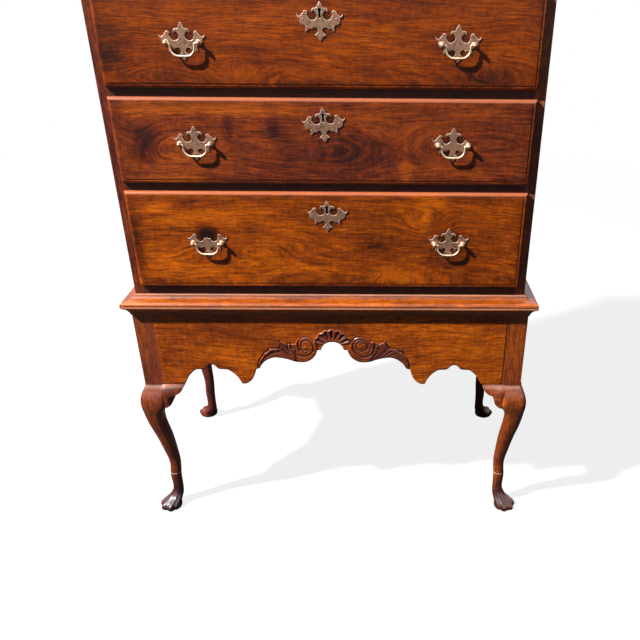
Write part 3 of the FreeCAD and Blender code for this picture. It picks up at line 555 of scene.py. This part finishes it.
def dress_front():
    """Mouldings, rails and partitions of the front, and the knee returns."""
    low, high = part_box("waist_moulding_front")
    nose = high.z - 18 * MM
    # bands of painted shade: the top in the lowest drawer's shadow, a dimmed arris and a line on the nose,
    # and the hollow under it
    painted_shade = ((high.z - 5 * MM, 0.01, 0.44), (nose + 1 * MM, 0.003, 0.72), (nose - 3 * MM, 0.002, 0.55),
            (low.z + 5 * MM, 0.016, 0.62))
    eased(walnut("waist", tones=GOLD_WALNUT, seed=51.0, heart=(0.0, 1.2, 0.03, 0.08), bias=0.24, gloss=0.5,
                 marks=[(0.0, z, 2.0, half, 0, change) for z, half, change in painted_shade],
                 # painted highlights along the nose's lower edge and along the top edge
                 painted_highlights_and_rubs=[(0.0, nose - 6 * MM, 2.0, 0.0026, 0.65), (0.0, high.z, 2.0, 0.003, 0.35)]),
          "waist_moulding_front", MOULDING_EASE)
    eased(walnut("cornice", seed=52.0, heart=(0.2, 2.1, 0.03, 0.08)), "cornice_front", MOULDING_EASE)
    # the rails, blades and case top take the dark tone painted as shade
    rails = walnut("rails", tones=SHADED_WALNUT, seed=53.0, heart=(0.0, 2.5, 0.03, 0.06))
    for name in ("bottom_rail", "top_rail", "drawer_blades", "case_top"):
        eased(rails, name, RAIL_EASE)
    eased(walnut("partitions", "along_z_front", seed=54.0), "short_drawer_partitions", RAIL_EASE)
    knee = LEG_WALNUT["front", "left"]
    # a painted highlight along the returns' top, as on the knees
    eased(walnut("returns", tones=knee, seed=55.0, gloss=0.5, painted_highlights_and_rubs=[(0.0, KNEE_TOP, 2.0, 0.008, 0.22)]),
          "knee_returns_front", 0, reshape=glue_to_knee)
    eased(walnut("side_returns", "along_y", knee, 56.0), "knee_returns_sides", 0)


def dress_inside():
    """Unfinished boards behind and inside, which keep their CAD meshes."""
    low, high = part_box("backboards")
    boards = (low.z, high.z, BACKBOARDS)
    secondary_wood("backboards", "back_boards_wood", seed=61.0, tone=(150, 108, 70), boards=boards)
    secondary_wood("case_bottom", "inner_boards_wood", seed=62.0)
    secondary_wood("drawer_runners", "runner_wood", "along_y", 63.0)
    secondary_wood("back_rail", "back_rail_wood", seed=64.0, tone=(158, 104, 62))
    secondary_wood("corner_blocks", "block_wood", "along_z_front", 65.0)


# ---- carved apron ----
def smooth_path(points, steps=10):
    """Points on a smooth curve through a few chosen ones."""
    p = [np.array(q, float) for q in points]
    p = [2 * p[0] - p[1]] + p + [2 * p[-1] - p[-2]]
    path = []
    for a, b, c, d in zip(p, p[1:], p[2:], p[3:]):
        for i in range(steps):
            t = i / steps
            path.append(0.5 * (2 * b + (c - a) * t + (2 * a - 5 * b + 4 * c - d) * t ** 2
                               + (3 * b - a - 3 * c + d) * t ** 3))
    return np.array(path + [p[-2]])


def distance_to(path, x, z, reach):
    """Each point's distance to a path, and how far along it that is from 0 to 1."""
    near = np.full(x.shape, 1e3)
    along = np.zeros(x.shape)
    low, high = path.min(axis=0) - reach, path.max(axis=0) + reach
    inside = (x > low[0]) & (x < high[0]) & (z > low[1]) & (z < high[1])
    px, pz = x[inside], z[inside]
    best, where = np.full(px.shape, 1e3), np.zeros(px.shape)
    for i, (a, b) in enumerate(zip(path, path[1:])):
        span = b - a
        t = np.clip(((px - a[0]) * span[0] + (pz - a[1]) * span[1]) / (span @ span), 0, 1)
        d = np.hypot(px - a[0] - t * span[0], pz - a[1] - t * span[1])
        closer = d < best
        best[closer] = d[closer]
        where[closer] = (i + t[closer]) / (len(path) - 1)
    near[inside] = best
    along[inside] = where
    return near, along


# The carving in millimetres from the middle of the chest, for its right (1) and left (-1)
# half: the leaf's upper edge, then grooves as (points, half width, depth, taper).
SHELL_CENTRE = 518.0
GOUGE_STEP = 21.0  # degrees between the shell's flutes
SHELL_RADIUS = 48.5
CARVED_HALF = 196.0
LEAF_END = 194.0
VOLUTE_EYE = {1: (71.0, 518.0), -1: (66.0, 518.0)}
LEAF_TOP = {
    1: [(100, 532), (105, 533), (112, 523), (120, 528), (127, 530), (131, 535), (137, 530), (142, 514),
        (160, 512), (166, 505), (175, 500), (181, 491), (187, 484), (191, 473), (193, 458)],
    -1: [(97, 526), (105, 527), (112, 524), (119, 529), (127, 533), (130, 536), (134, 512), (155, 512),
         (161, 505), (171, 498), (176, 489), (182, 482), (187, 470), (188, 456)]}
GROOVES = {
    1: [([(106, 530), (106, 516), (102, 505), (95, 495), (82, 489.5), (70, 492), (59, 501), (53, 511),
          (52, 521), (55, 531), (61, 537), (69, 539), (78, 536), (86, 528), (88, 518), (84, 510), (76, 506),
          (67, 508), (61, 515), (60, 523), (64, 530), (71, 532), (77, 527)], 2.1, 2.2, 0.35),
        ([(49, 533), (54, 540), (61, 544.5), (70, 545.5), (79, 543), (88, 536), (93, 527)], 1.9, 1.7, 0.4),
        ([(115, 525), (116, 512), (110, 499), (99, 488)], 1.5, 1.5, 0.5),
        ([(134, 531), (136, 520), (130, 508), (120, 497), (109, 485)], 1.7, 1.6, 0.5),
        ([(142, 516), (134, 507), (123, 494), (114, 486)], 1.7, 1.6, 0.3),
        ([(150, 507), (136, 497), (123, 488)], 1.6, 1.5, 0.3),
        ([(162, 500), (146, 495), (131, 489)], 1.5, 1.2, 0.3),
        ([(168, 506), (175, 505), (180, 501)], 2.2, 1.4, 0)],
    -1: [([(84, 495), (76, 491.5), (67, 491.5), (57, 496), (50, 504), (47, 514), (49, 524), (55, 533),
           (64, 537), (72, 534), (77, 527), (77, 517), (71, 510), (63, 510)], 2.1, 2.2, 0.45),
         ([(80, 508), (84, 518), (84.5, 529), (81, 538), (73, 544), (63, 545.5), (54, 542), (46, 534)],
          2.1, 2, 0.5),
         ([(130, 536), (129, 526), (132, 516), (134, 510)], 1.8, 2, 0),
         ([(124, 527), (117, 517), (108, 505)], 1.5, 1.3, 0.4),
         ([(112, 524), (111, 512), (106, 502)], 2, 1.7, 0.4),
         ([(103, 527), (102, 513), (98, 503), (91, 493)], 2.1, 1.9, 0.5),
         ([(133, 506), (148, 503), (161, 495), (173, 483), (181, 468)], 4, 1.5, 0.4),
         ([(126, 513), (117, 503), (107, 494)], 3, 1.2, 0.4)]}
BEADS = {1: [(163, 505, 3.2), (180, 491, 3.2), (109, 517, 2.6), (104, 500, 2.4)],  # x, z, radius
         -1: [(107, 517, 2.6), (67, 505, 3)]}


def carve(x, z, edge):
    """The carving's height above the apron's face, how much painted shade lies in its grooves and along its
    rounded lower edge, and how worn it is.

    x and z are in millimetres, edge is the height above the board's lower edge.
    """
    height, dark, worn = np.zeros(x.shape), np.zeros(x.shape), np.zeros(x.shape)
    side = np.abs(x)

    def cut(path, points_x, half_width, depth, taper=0.0, painted_shade=1.0):
        nonlocal height, dark
        near, along = distance_to(path, points_x, z, 3 * half_width)
        shape = np.exp(-(near / (half_width * (1 - taper * along))) ** 2)
        height = height - depth * shape * (1 - 0.5 * taper * along)
        # painted shade along the groove
        dark = np.maximum(dark, painted_shade * np.clip(1.7 * shape - 0.3, 0, 1) * (1 - 0.45 * along * (taper > 0)))

    reach = np.hypot(side, z - SHELL_CENTRE)
    angle = np.degrees(np.arctan2(z - SHELL_CENTRE, side))
    sector = np.clip((angle - 14) / 3, 0, 1)
    ridge = 0.5 - 0.5 * np.cos(np.radians(360 * (angle - 90) / GOUGE_STEP))
    rim = SHELL_RADIUS - 2.6 * ridge
    inside = np.clip((rim + 1.5 - reach) / 1.5, 0, 1) * sector
    height += inside * (0.5 + 1.6 * np.clip((reach - 18) / 22, 0, 1) * ridge)
    height += 1.9 * sector * np.exp(-((reach - rim + 1.6) / 1.7) ** 2)
    worn = np.maximum(worn, 0.9 * inside * np.clip((reach - 14) / 8, 0, 1))
    for i in range(4):
        turn = math.radians(90 - GOUGE_STEP * i)
        out = np.array([math.cos(turn), math.sin(turn)])
        cut(np.array([0, SHELL_CENTRE]) + np.linspace(42.5, 25, 8)[:, None] * out, side, 3.7, 3.2, taper=0.66)

    for half in (1, -1):
        here = (x * half > 0).astype(float)
        before, dark_before = height.copy(), dark.copy()
        eye_x, eye_z = VOLUTE_EYE[half]
        eye = np.hypot(side - eye_x, z - eye_z)
        volute = np.clip((29 - eye) / 3, 0, 1)
        height += volute * 2.0
        height += 1.2 * np.exp(-(eye / 5.0) ** 2)
        roll = np.clip((37 - np.hypot(side - 70, z - 508)) / 4, 0, 1) * (1 - volute) * (z < 512)
        height += 1.6 * roll
        top = np.interp(side, *np.array(LEAF_TOP[half]).T)
        leaf = np.clip((top - z) / 1.6, 0, 1) * (side > 90) * (side < LEAF_END)
        height += 1.9 * leaf * np.clip((side - 90) / 6, 0, 1) * (1 - volute)
        worn = np.maximum(worn, here * np.maximum(leaf, 0.45 * np.maximum(volute, roll)))
        for points, half_width, depth, taper in GROOVES[half]:
            cut(smooth_path(points), side, half_width, depth, taper)
        cut(smooth_path(LEAF_TOP[half][-8:]) + (1.0, 1.2), side, 1.7, 1.2, painted_shade=0.8)
        for bead_x, bead_z, radius in BEADS[half]:
            height += 1.5 * np.exp(-((side - bead_x) ** 2 + (z - bead_z) ** 2) / (0.62 * radius) ** 2)
        height = np.where(here > 0, height, before)
        dark = np.where(here > 0, dark, dark_before)
    rounded = np.clip(edge / 4.5, 0, 1)
    height -= 2.0 * (1 - rounded) ** 2
    # the rounded lower edge also gets painted shade
    return height, np.clip(dark + 0.35 * (1 - rounded) * (side < LEAF_END), 0, 1), worn


def carve_apron():
    """The front apron as one closed skin, its face carved and its edges sawn and rasped."""
    low_x, high_x = apron_low.x + TENON, apron_high.x - TENON
    blank = BVHTree.FromObject(nodes["front_apron"], bpy.context.evaluated_depsgraph_get())
    carved = CARVED_HALF * MM
    columns = np.concatenate([np.linspace(low_x, -carved, 62)[:-1], np.linspace(-carved, carved, 521),
                              np.linspace(carved, high_x, 62)[1:]])
    columns[0] += 0.05 * MM
    columns[-1] -= 0.05 * MM
    middle_y = frame_face + APRON_THICKNESS / 2
    up = Vector((0, 0, 1))
    edge = np.array([blank.ray_cast(Vector((x, middle_y, 0.2)), up)[0].z for x in columns])
    rows = np.concatenate([np.linspace(0, 62, 101), np.linspace(62, 100, 18)[1:]]) / 100
    top = apron_high.z
    x = np.repeat(columns[:, None], len(rows), axis=1)
    z = edge[:, None] + (top - edge)[:, None] * rows[None, :]
    height, dark, worn = carve(x / MM, z / MM, (z - edge[:, None]) / MM)
    dark = np.maximum(dark, 0.45 * np.exp(-((x - low_x) / (1.1 * MM)) ** 2))
    height[:, -1] = 0
    front_y = frame_face - height * MM
    count_x, count_z = x.shape
    front = np.stack([x, front_y, z], axis=2).reshape(-1, 3)
    ends = [0, count_z - 1]
    back = np.stack([x[:, ends], np.full((count_x, 2), frame_face + APRON_THICKNESS), z[:, ends]], axis=2)
    vertices = np.concatenate([front, back.reshape(-1, 3)])
    index = np.arange(count_x * count_z).reshape(count_x, count_z)
    a, b, c, d = index[:-1, :-1], index[1:, :-1], index[1:, 1:], index[:-1, 1:]
    faces = np.stack([a, b, c, d], axis=2).reshape(-1, 4).tolist()
    last = count_x * count_z
    low_back = last + 2 * np.arange(count_x)
    high_back = low_back + 1
    for i in range(count_x - 1):
        faces.append([index[i, 0], low_back[i], low_back[i + 1], index[i + 1, 0]])
        faces.append([index[i, -1], index[i + 1, -1], high_back[i + 1], high_back[i]])
        faces.append([low_back[i], high_back[i], high_back[i + 1], low_back[i + 1]])
    faces.append(list(index[0, :]) + [high_back[0], low_back[0]])
    faces.append(list(index[-1, ::-1]) + [low_back[-1], high_back[-1]])
    mesh = bpy.data.meshes.new("front_apron_carved")
    mesh.from_pydata(vertices.tolist(), [], [[int(v) for v in face] for face in faces])
    # recess holds painted shade in the grooves and on the lower edge, and the dark joint at the left post
    for label, amounts in (("recess", dark), ("carved", worn)):
        values = np.zeros(len(vertices))
        values[:last] = amounts.reshape(-1)
        mesh.attributes.new(label, "FLOAT", "POINT").data.foreach_set("value", values)
    smooth = np.zeros(len(mesh.polygons), bool)
    smooth[:(count_x - 1) * (count_z - 1)] = True
    mesh.polygons.foreach_set("use_smooth", smooth)
    patches = [(-0.3, 0.56, 0.16, 0.06, -0.2), (0.32, 0.54, 0.14, 0.08, 0.12), (0.0, 0.6, 0.2, 0.02, -0.1)]
    paint(mesh, walnut("apron", tones=shades(152, 66, 9), seed=71.0, heart=(0.15, 0.8, 0.03, 0.16),
                       patches=patches, bias=0.04, carved=True))
    piece("front_apron_carved", mesh, "chest", "walnut", "front_apron")


# ---- brasses ----
FACE, EDGE, TURNED, IRON = range(4)  # finishes of a drawer's brasses, in their order
PLATE_BEVEL = 0.55 * MM
PLATE_SCALE = 91 / 86
PLATE_TOP = (0.0, 37.5)
PLATE_HALF = [  # millimetres, from the top point down the right side; an arc is (through, end)
    ((2.8, 33), (4.8, 29)), ((5.8, 26.6), (8.6, 25)), ((14.8, 23), (14.4, 17.4)),
    ((12.4, 20.2), (8.8, 18.8)), ((5.6, 10.5), (13, 3.8)), ((18.6, 4.6), (22, 10)),
    ((23.5, 12.5), (23.2, 15)), ((26.2, 21), (31, 17.5)), ((36, 11.5),), ((40, 11), (42.5, 16.5)),
    ((42.6, 9.6), (37, 6)), ((36.5, -2.5), (30.5, -5)), ((26.5, -7.5),), ((27.5, -16.5),),
    ((23.5, -16),), ((21, -12.5), (15.5, -12.8)), ((8.5, -9.5), (5, -18.5)), ((10.5, -24),),
    ((6, -26),), ((3.5, -29.5), (0, -34))]
BROKEN_SPIRE = [((1.2, 12), (2.2, 10.4)), ((5, 11), (7.2, 9.8)), ((11, 4), (22, 10))]
BROKEN_SPIRE_TOP = (0, 15.5)
BROKEN_EAR = [((25.5, 10.5), (27.5, 9)), ((32, 6.5),), ((33, -2), (30.5, -5))]
BROKEN_PLATES = {"long_drawer_1_bail_left": "spire", "long_drawer_2_bail_right": "right ear"}
ESCUTCHEON_LEAN = {"long_drawer_2": 3.0}  # degrees, as it was pinned on
ESCUTCHEON_PINS = ((-33.5, 6), (33.5, 6), (0, 30.5), (0, -26), (-27, -9), (27, -9))
POST_PROFILE = [  # millimetres: how far it stands out, and its radius there
    (0, 0), (0, 6), (0.8, 6.2), (1.4, 5.4), (1.8, 4), (2.6, 3.2), (3.8, 3), (4.8, 3.5),
    (5.9, 4.3), (7.2, 4.7), (8.6, 4.8), (10, 4.6), (11.4, 3.9), (12.5, 2.8), (13.1, 1.5), (13.3, 0)]
PIN_PROFILE = [(0, 0), (0, 1.5), (0.5, 1.4), (0.9, 0.8), (1.1, 0)]
POST_BACK = ((5, 0, 4, 0.6), (1.5, 3.9, 6, 0.5))  # nut and shank: half width, near, far, ease


def arc_points(start, through, end, steps=7):
    """Points along the arc through three points, without its start."""
    (ax, ay), (bx, by), (cx, cy) = start, through, end
    d = 2 * (ax * (by - cy) + bx * (cy - ay) + cx * (ay - by))
    if abs(d) < 1e-9:
        return [end]
    a, b, c = ax ** 2 + ay ** 2, bx ** 2 + by ** 2, cx ** 2 + cy ** 2
    ux = (a * (by - cy) + b * (cy - ay) + c * (ay - by)) / d
    uy = (a * (cx - bx) + b * (ax - cx) + c * (bx - ax)) / d
    radius = math.hypot(ax - ux, ay - uy)
    first, mid, last = (math.atan2(y - uy, x - ux) for x, y in (start, through, end))
    sweep = (last - first) % (2 * math.pi)
    if (mid - first) % (2 * math.pi) > sweep:
        sweep -= 2 * math.pi
    turns = [first + sweep * i / steps for i in range(1, steps + 1)]
    return [(ux + radius * math.cos(t), uy + radius * math.sin(t)) for t in turns]


def outline_points(start, steps):
    points = [start]
    for step in steps:
        points += arc_points(points[-1], *step) if len(step) == 2 else [step[0]]
    return points


def plate_outline(broken=None):
    """The whole pierced outline, with what has broken off left away."""
    top, left, right = PLATE_TOP, PLATE_HALF, PLATE_HALF
    if broken == "spire":
        top = BROKEN_SPIRE_TOP
        left = right = BROKEN_SPIRE + PLATE_HALF[6:]
    elif broken == "right ear":
        right = PLATE_HALF[:6] + BROKEN_EAR + PLATE_HALF[12:]
    mirrored = [(-x, y) for x, y in outline_points(top, left)]
    return [(x * PLATE_SCALE, y) for x, y in outline_points(top, right) + mirrored[-2:0:-1]]


def keyhole_loop():
    """The keyhole's round top and slot, in millimetres from the escutcheon's middle."""
    rise, radius, slot, half = KEYHOLE_RISE / MM, 3.4, 14.0, 2.3
    start = math.asin(half / radius)
    turns = np.linspace(-math.pi / 2 + start, 1.5 * math.pi - start, 18)
    loop = [(radius * math.cos(t), rise + radius * math.sin(t)) for t in turns]
    return loop + [(-half, rise - slot), (half, rise - slot)]


def leaning(loop, degrees):
    cos, sin = math.cos(math.radians(degrees)), math.sin(math.radians(degrees))
    return [(x * cos - z * sin, x * sin + z * cos) for x, z in loop]


def add_path(curve, points):
    """Adds a path of straight steps through the points."""
    spline = curve.splines.new("POLY")
    spline.points.add(len(points) - 1)
    for point, place in zip(spline.points, points):
        point.co = (*place, 1)
    return spline


def casting(loops, x, face, z):
    """A flat bevelled casting on a drawer's face from closed loops; inner loops are holes."""
    curve = bpy.data.curves.new("casting", "CURVE")
    curve.dimensions = "2D"
    curve.fill_mode = "BOTH"
    curve.extrude = PLATE_THICKNESS / 2 - PLATE_BEVEL
    curve.bevel_depth = PLATE_BEVEL
    curve.offset = -PLATE_BEVEL
    curve.bevel_resolution = 1
    for loop in loops:
        add_path(curve, [(px * MM, pz * MM, 0) for px, pz in loop]).use_cyclic_u = True
    mesh = plain_mesh(new_object("casting", curve), "casting")
    y = face - PLATE_THICKNESS / 2
    mesh.transform(Matrix(((1, 0, 0, x), (0, 0, -1, y), (0, 1, 0, z), (0, 0, 0, 1))))
    for polygon in mesh.polygons:
        # bevel faces take the edge finish, whose pale colour is partly painted highlight
        polygon.material_index = FACE if abs(polygon.normal.y) > 0.97 else EDGE
        polygon.use_smooth = False
    return mesh


def finished(work, finish):
    """The work as a mesh in one of a drawer's finishes."""
    bmesh.ops.recalc_face_normals(work, faces=work.faces)
    mesh = bpy.data.meshes.new("part")
    work.to_mesh(mesh)
    work.free()
    mesh.polygons.foreach_set("material_index", [finish] * len(mesh.polygons))
    return mesh


def turned(profile, x, y, z, finish, steps=24):
    """A turned part whose axis points out of the drawer."""
    work = bmesh.new()
    rings = []
    for stand, radius in profile:
        stand, radius = stand * MM, radius * MM
        turns = [2 * math.pi * i / steps for i in range(steps if radius else 1)]
        rings.append([work.verts.new((x + radius * math.cos(t), y - stand, z + radius * math.sin(t)))
                      for t in turns])
    for a, b in zip(rings, rings[1:]):
        for i in range(steps):
            j = (i + 1) % steps
            corners = [a[i % len(a)], a[j % len(a)], b[j % len(b)], b[i % len(b)]]
            work.faces.new(list(dict.fromkeys(corners))).smooth = True
    return finished(work, finish)


def iron_block(low, high, ease):
    """An iron block with eased edges."""
    work = bmesh.new()
    bmesh.ops.create_cube(work, size=1.0)
    size = Vector(high) - Vector(low)
    middle = (Vector(high) + Vector(low)) / 2
    work.transform(Matrix.Translation(middle) @ Matrix.Diagonal((*size, 1)))
    bmesh.ops.bevel(work, geom=list(work.edges), offset=ease, segments=2, profile=0.5, affect="EDGES")
    return finished(work, IRON)


def fit_brasses(name, finishes):
    """Plates, posts, nuts, escutcheon and lock of one drawer, as one piece."""
    front_low, front_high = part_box(name + "_front")
    face = front_low.y
    inside = face + FRONT_THICKNESS
    parts = []
    for bail, x, _, z in pulls_of(name):
        parts.append(casting([plate_outline(BROKEN_PLATES.get(bail))], x, face, z))
        for side in (-1, 1):
            post_x = x + side * POST_SPACING / 2
            parts.append(turned(POST_PROFILE, post_x, face - PLATE_THICKNESS + 0.1 * MM, z, TURNED))
            for half, near, far, ease in POST_BACK:
                half *= MM
                parts.append(iron_block((post_x - half, inside + near * MM, z - half),
                                        (post_x + half, inside + far * MM, z + half), ease * MM))
    if name in long_drawers:
        z = front_high.z - ESCUTCHEON_DROP
        lean = ESCUTCHEON_LEAN.get(name, 0.0)
        loops = [leaning(loop, lean) for loop in (plate_outline(), keyhole_loop())]
        parts.append(casting(loops, 0, face, z))
        for pin_x, pin_z in ESCUTCHEON_PINS:
            parts.append(turned(PIN_PROFILE, pin_x * MM, face - PLATE_THICKNESS, z + pin_z * MM, FACE, 10))
        lock = z + KEYHOLE_RISE
        parts.append(iron_block((-28 * MM, inside, lock - 26.4 * MM),
                                (28 * MM, inside + 9 * MM, lock + 17.6 * MM), 0.7 * MM))
    work = bmesh.new()
    for part in parts:
        work.from_mesh(part)
    mesh = bpy.data.meshes.new(name + "_brasses")
    work.to_mesh(mesh)
    work.free()
    for finish in finishes:
        mesh.materials.append(finish)
    piece(name + "_brasses", mesh, name, "brass", name + "_hardware")


def geometry_tree(name, sizes):
    """A geometry tree's graph, and what its named inputs give."""
    tree = bpy.data.node_groups.new(name, "GeometryNodeTree")
    tree.interface.new_socket("Geometry", in_out="INPUT", socket_type="NodeSocketGeometry")
    for label, value in sizes.items():
        kind = "NodeSocketInt" if isinstance(value, int) else "NodeSocketFloat"
        tree.interface.new_socket(label, in_out="INPUT", socket_type=kind).default_value = value
    tree.interface.new_socket("Geometry", in_out="OUTPUT", socket_type="NodeSocketGeometry")
    graph = Graph(tree)
    return graph, graph.node("NodeGroupInput").outputs


def finish_geometry(graph, shape, material):
    """Makes the shape real, gives it its finish and hands it out."""
    real = graph.node("GeometryNodeRealizeInstances", {0: shape})
    painted = graph.node("GeometryNodeSetMaterial", {0: real.outputs[0], "Material": material})
    graph.node("NodeGroupOutput", {0: painted.outputs[0]})
    return graph.tree


def bail_tree(material):
    """Geometry nodes: a bent wire, thick in the grip and thin at its ends."""
    sizes = {"End radius": 1.8 * MM, "Grip radius": 2.3 * MM, "Sides": 14}
    graph, given = geometry_tree("bail_wire", sizes)
    along = graph.node("GeometryNodeSplineParameter").outputs["Factor"]
    from_middle = graph.math("ABSOLUTE", graph.math("MULTIPLY_ADD", along, 2.0, -1.0))
    swell = graph.spread(from_middle, 0.1, 0.78, given["Grip radius"], given["End radius"], smooth=True)
    sized = graph.node("GeometryNodeSetCurveRadius", {"Curve": given["Geometry"], "Radius": swell})
    ring = graph.node("GeometryNodeCurvePrimitiveCircle", {"Resolution": given["Sides"], "Radius": 1.0})
    sweep = {"Curve": sized.outputs[0], "Profile Curve": ring.outputs[0], "Fill Caps": True, "Scale": swell}
    wire = graph.node("GeometryNodeCurveToMesh", sweep)
    smooth = graph.node("GeometryNodeSetShadeSmooth", {0: wire.outputs[0]})
    return finish_geometry(graph, smooth.outputs[0], material)


def hang_bail(tree, name, x, y, z):
    """One drop handle, hung from the centres of its posts."""
    half, drop, corner, elbow = 24.65 * MM, 24.5 * MM, 17 * MM, 2.7 * MM
    tip = POST_SPACING / 2 - 0.5 * MM
    side = [(tip, 0.0), (half + elbow, 0.0)]
    side += [(half + elbow * (1 - math.sin(t)), -elbow * (1 - math.cos(t)))
             for t in np.linspace(0.2, math.pi / 2, 6)]
    side += [(half - corner + corner * math.cos(t), corner - drop - corner * math.sin(t))
             for t in np.linspace(0, math.pi / 2, 13)]
    curve = bpy.data.curves.new(name, "CURVE")
    curve.dimensions = "3D"
    add_path(curve, [(x + px, y, z + pz) for px, pz in side + [(-px, pz) for px, pz in side[::-1]]])
    made = new_object(name + "_path", curve)
    made.modifiers.new("wire", "NODES").node_group = tree
    piece(name + "_wire", plain_mesh(made, name + "_wire"), name, "brass", name)


def nail_tree(material):
    """Geometry nodes: a hand-made rose-headed nail at every point of a mesh."""
    graph, given = geometry_tree("nail_heads", {"Head radius": 3.6 * MM, "Head rise": 1.3 * MM, "Seed": 7})
    rim = graph.math("MULTIPLY", given["Head radius"], 0.22)
    cone = {"Vertices": 8, "Radius Top": rim, "Radius Bottom": given["Head radius"],
            "Depth": given["Head rise"]}
    head = graph.node("GeometryNodeMeshCone", cone)
    turns = ((-math.pi / 2, 0, 0), (-math.pi / 2, math.pi, 0))
    sizes = ((0.85, 1.0, 0.85), (1.15, 1.0, 1.15))
    turn, size = (graph.node("FunctionNodeRandomValue", {0: least, 1: most, "Seed": given["Seed"]},
                             data_type="FLOAT_VECTOR").outputs[0] for least, most in (turns, sizes))
    places = {"Points": given["Geometry"], "Instance": head.outputs[0], "Rotation": turn, "Scale": size}
    heads = graph.node("GeometryNodeInstanceOnPoints", places)
    return finish_geometry(graph, heads.outputs[0], material)


def nail_backboards(material):
    """Two nails through each end of each backboard, into the rabbets of the sides."""
    low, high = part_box("backboards")
    board_height = (high.z - low.z) / BACKBOARDS
    places = [(side * (high.x - 6 * MM), high.y, low.z + (board + share) * board_height)
              for side in (-1, 1) for board in range(BACKBOARDS) for share in (0.2, 0.8)]
    mesh = bpy.data.meshes.new("nail_places")
    mesh.from_pydata(places, [], [])
    made = new_object("nail_places", mesh)
    made.modifiers.new("heads", "NODES").node_group = nail_tree(material)
    piece("backboard_nails", plain_mesh(made, "backboard_nails"), "chest", None)


# ---- light, floor and camera ----
def light_the_room():
    """A white room to the camera, dim and dark below to the wood, and one window's light."""
    world = bpy.data.worlds.new("soft_room")
    bpy.context.scene.world = world
    world.use_nodes = True
    world.node_tree.nodes.clear()
    graph = Graph(world.node_tree)
    ray = graph.node("ShaderNodeLightPath").outputs
    seen = graph.math("MAXIMUM", ray["Is Camera Ray"], ray["Is Transmission Ray"])
    outward = graph.parts(graph.coordinate("Generated"))
    fill = graph.spread(outward[1], -0.1, 0.7, 0.045, 0.34, smooth=True)
    mirrored = graph.spread(outward[2], -0.1, 0.4, 0.08, 1.9, smooth=True)
    other = graph.math("MULTIPLY_ADD", ray["Is Glossy Ray"], graph.math("SUBTRACT", mirrored, fill), fill)
    level = graph.math("MAXIMUM", seen, other)
    back = graph.node("ShaderNodeBackground", {"Color": WHITE, "Strength": level})
    graph.node("ShaderNodeOutputWorld", {"Surface": back.outputs[0]})
    lamp = bpy.data.lights.new("window", "AREA")
    lamp.shape = "DISK"
    lamp.size = 0.36
    lamp.energy = 2350
    travel = Vector((0.655, 0.3, -0.695)).normalized()
    aim, distance = Vector((0, frame_face, 0.9)), 9.0
    turn = travel.to_track_quat("-Z", "Y").to_matrix().to_4x4()
    new_object("window", lamp).matrix_world = Matrix.Translation(aim - travel * distance) @ turn


def lay_floor():
    """A pale floor that runs into the white room; the chest itself sees it as dull ground."""
    made, graph = new_material("pale_floor")
    place = graph.coordinate()
    tone = graph.spread(graph.noise(place, 3.0, 3.0), 0.3, 0.7, 0.8, 0.84)
    far = graph.spread(graph.vector("LENGTH", place), 1.6, 5.0, smooth=True)
    ray = graph.node("ShaderNodeLightPath").outputs["Is Camera Ray"]
    tone = graph.math("MULTIPLY", tone, graph.spread(ray, 0, 1, 0.06, 1.0))
    matt = graph.node("ShaderNodeBsdfDiffuse", {"Color": graph.grey(tone)})
    white = graph.node("ShaderNodeEmission", {"Color": WHITE, "Strength": 1.0})
    share = graph.math("MULTIPLY", ray, graph.spread(far, 0, 1, 0.84, 1.0))
    mixed = graph.node("ShaderNodeMixShader", {0: share, 1: matt.outputs[0], 2: white.outputs[0]})
    graph.node("ShaderNodeOutputMaterial", {"Surface": mixed.outputs[0]})
    half = 9.0
    corners = [(-half, -half, 0), (half, -half, 0), (half, half, 0), (-half, half, 0)]
    mesh = bpy.data.meshes.new("floor")
    mesh.from_pydata(corners, [], [(0, 1, 2, 3)])
    paint(mesh, made)
    floor = new_object("floor", mesh)


def place_camera():
    """A standing person's view, looking down at the chest from its front."""
    tilt, yaw, roll = (math.radians(a) for a in (29.007, 0.906, 0.606))
    forward = Vector((math.sin(yaw) * math.cos(tilt), math.cos(yaw) * math.cos(tilt), -math.sin(tilt)))
    level = Vector((math.cos(yaw), -math.sin(yaw), 0))
    lift = level.cross(forward)
    right = level * math.cos(roll) + lift * math.sin(roll)
    up = lift * math.cos(roll) - level * math.sin(roll)
    lens = bpy.data.cameras.new("camera")
    lens.sensor_width = 36
    lens.lens = 38.78
    lens.shift_x = -0.1141
    lens.shift_y = 0.0591
    camera = new_object("camera", lens)
    turn = Matrix((right, up, -forward)).transposed().to_4x4()
    camera.matrix_world = Matrix.Translation((0.1281, -1.75761, 1.3312)) @ turn
    bpy.context.scene.camera = camera


# ---- the chest ----
dress_drawers()
dress_sides()
dress_front()
dress_inside()
carve_apron()
iron = dark_iron("old_iron")
finishes = [brass("brass_face", srgb(176, 134, 108), srgb(104, 78, 62), 0.36),
            # the bevelled edges: brass rubbed bright, and paler still as painted highlight
            brass("brass_rubbed_and_highlit_edge", srgb(250, 224, 206), srgb(200, 162, 140), 0.26),
            brass("brass_turned", srgb(206, 162, 136), srgb(128, 94, 78), 0.4), iron]
bail_shape = bail_tree(brass("brass_bail", srgb(246, 222, 186), srgb(206, 172, 132), 0.32))
for drawer in long_drawers + short_drawers:
    fit_brasses(drawer, finishes)
for drawer in long_drawers + short_drawers:
    for bail in pulls_of(drawer):
        hang_bail(bail_shape, *bail)
nail_backboards(iron)

light_the_room()
lay_floor()
place_camera()
bpy.context.scene.view_settings.view_transform = "Standard"
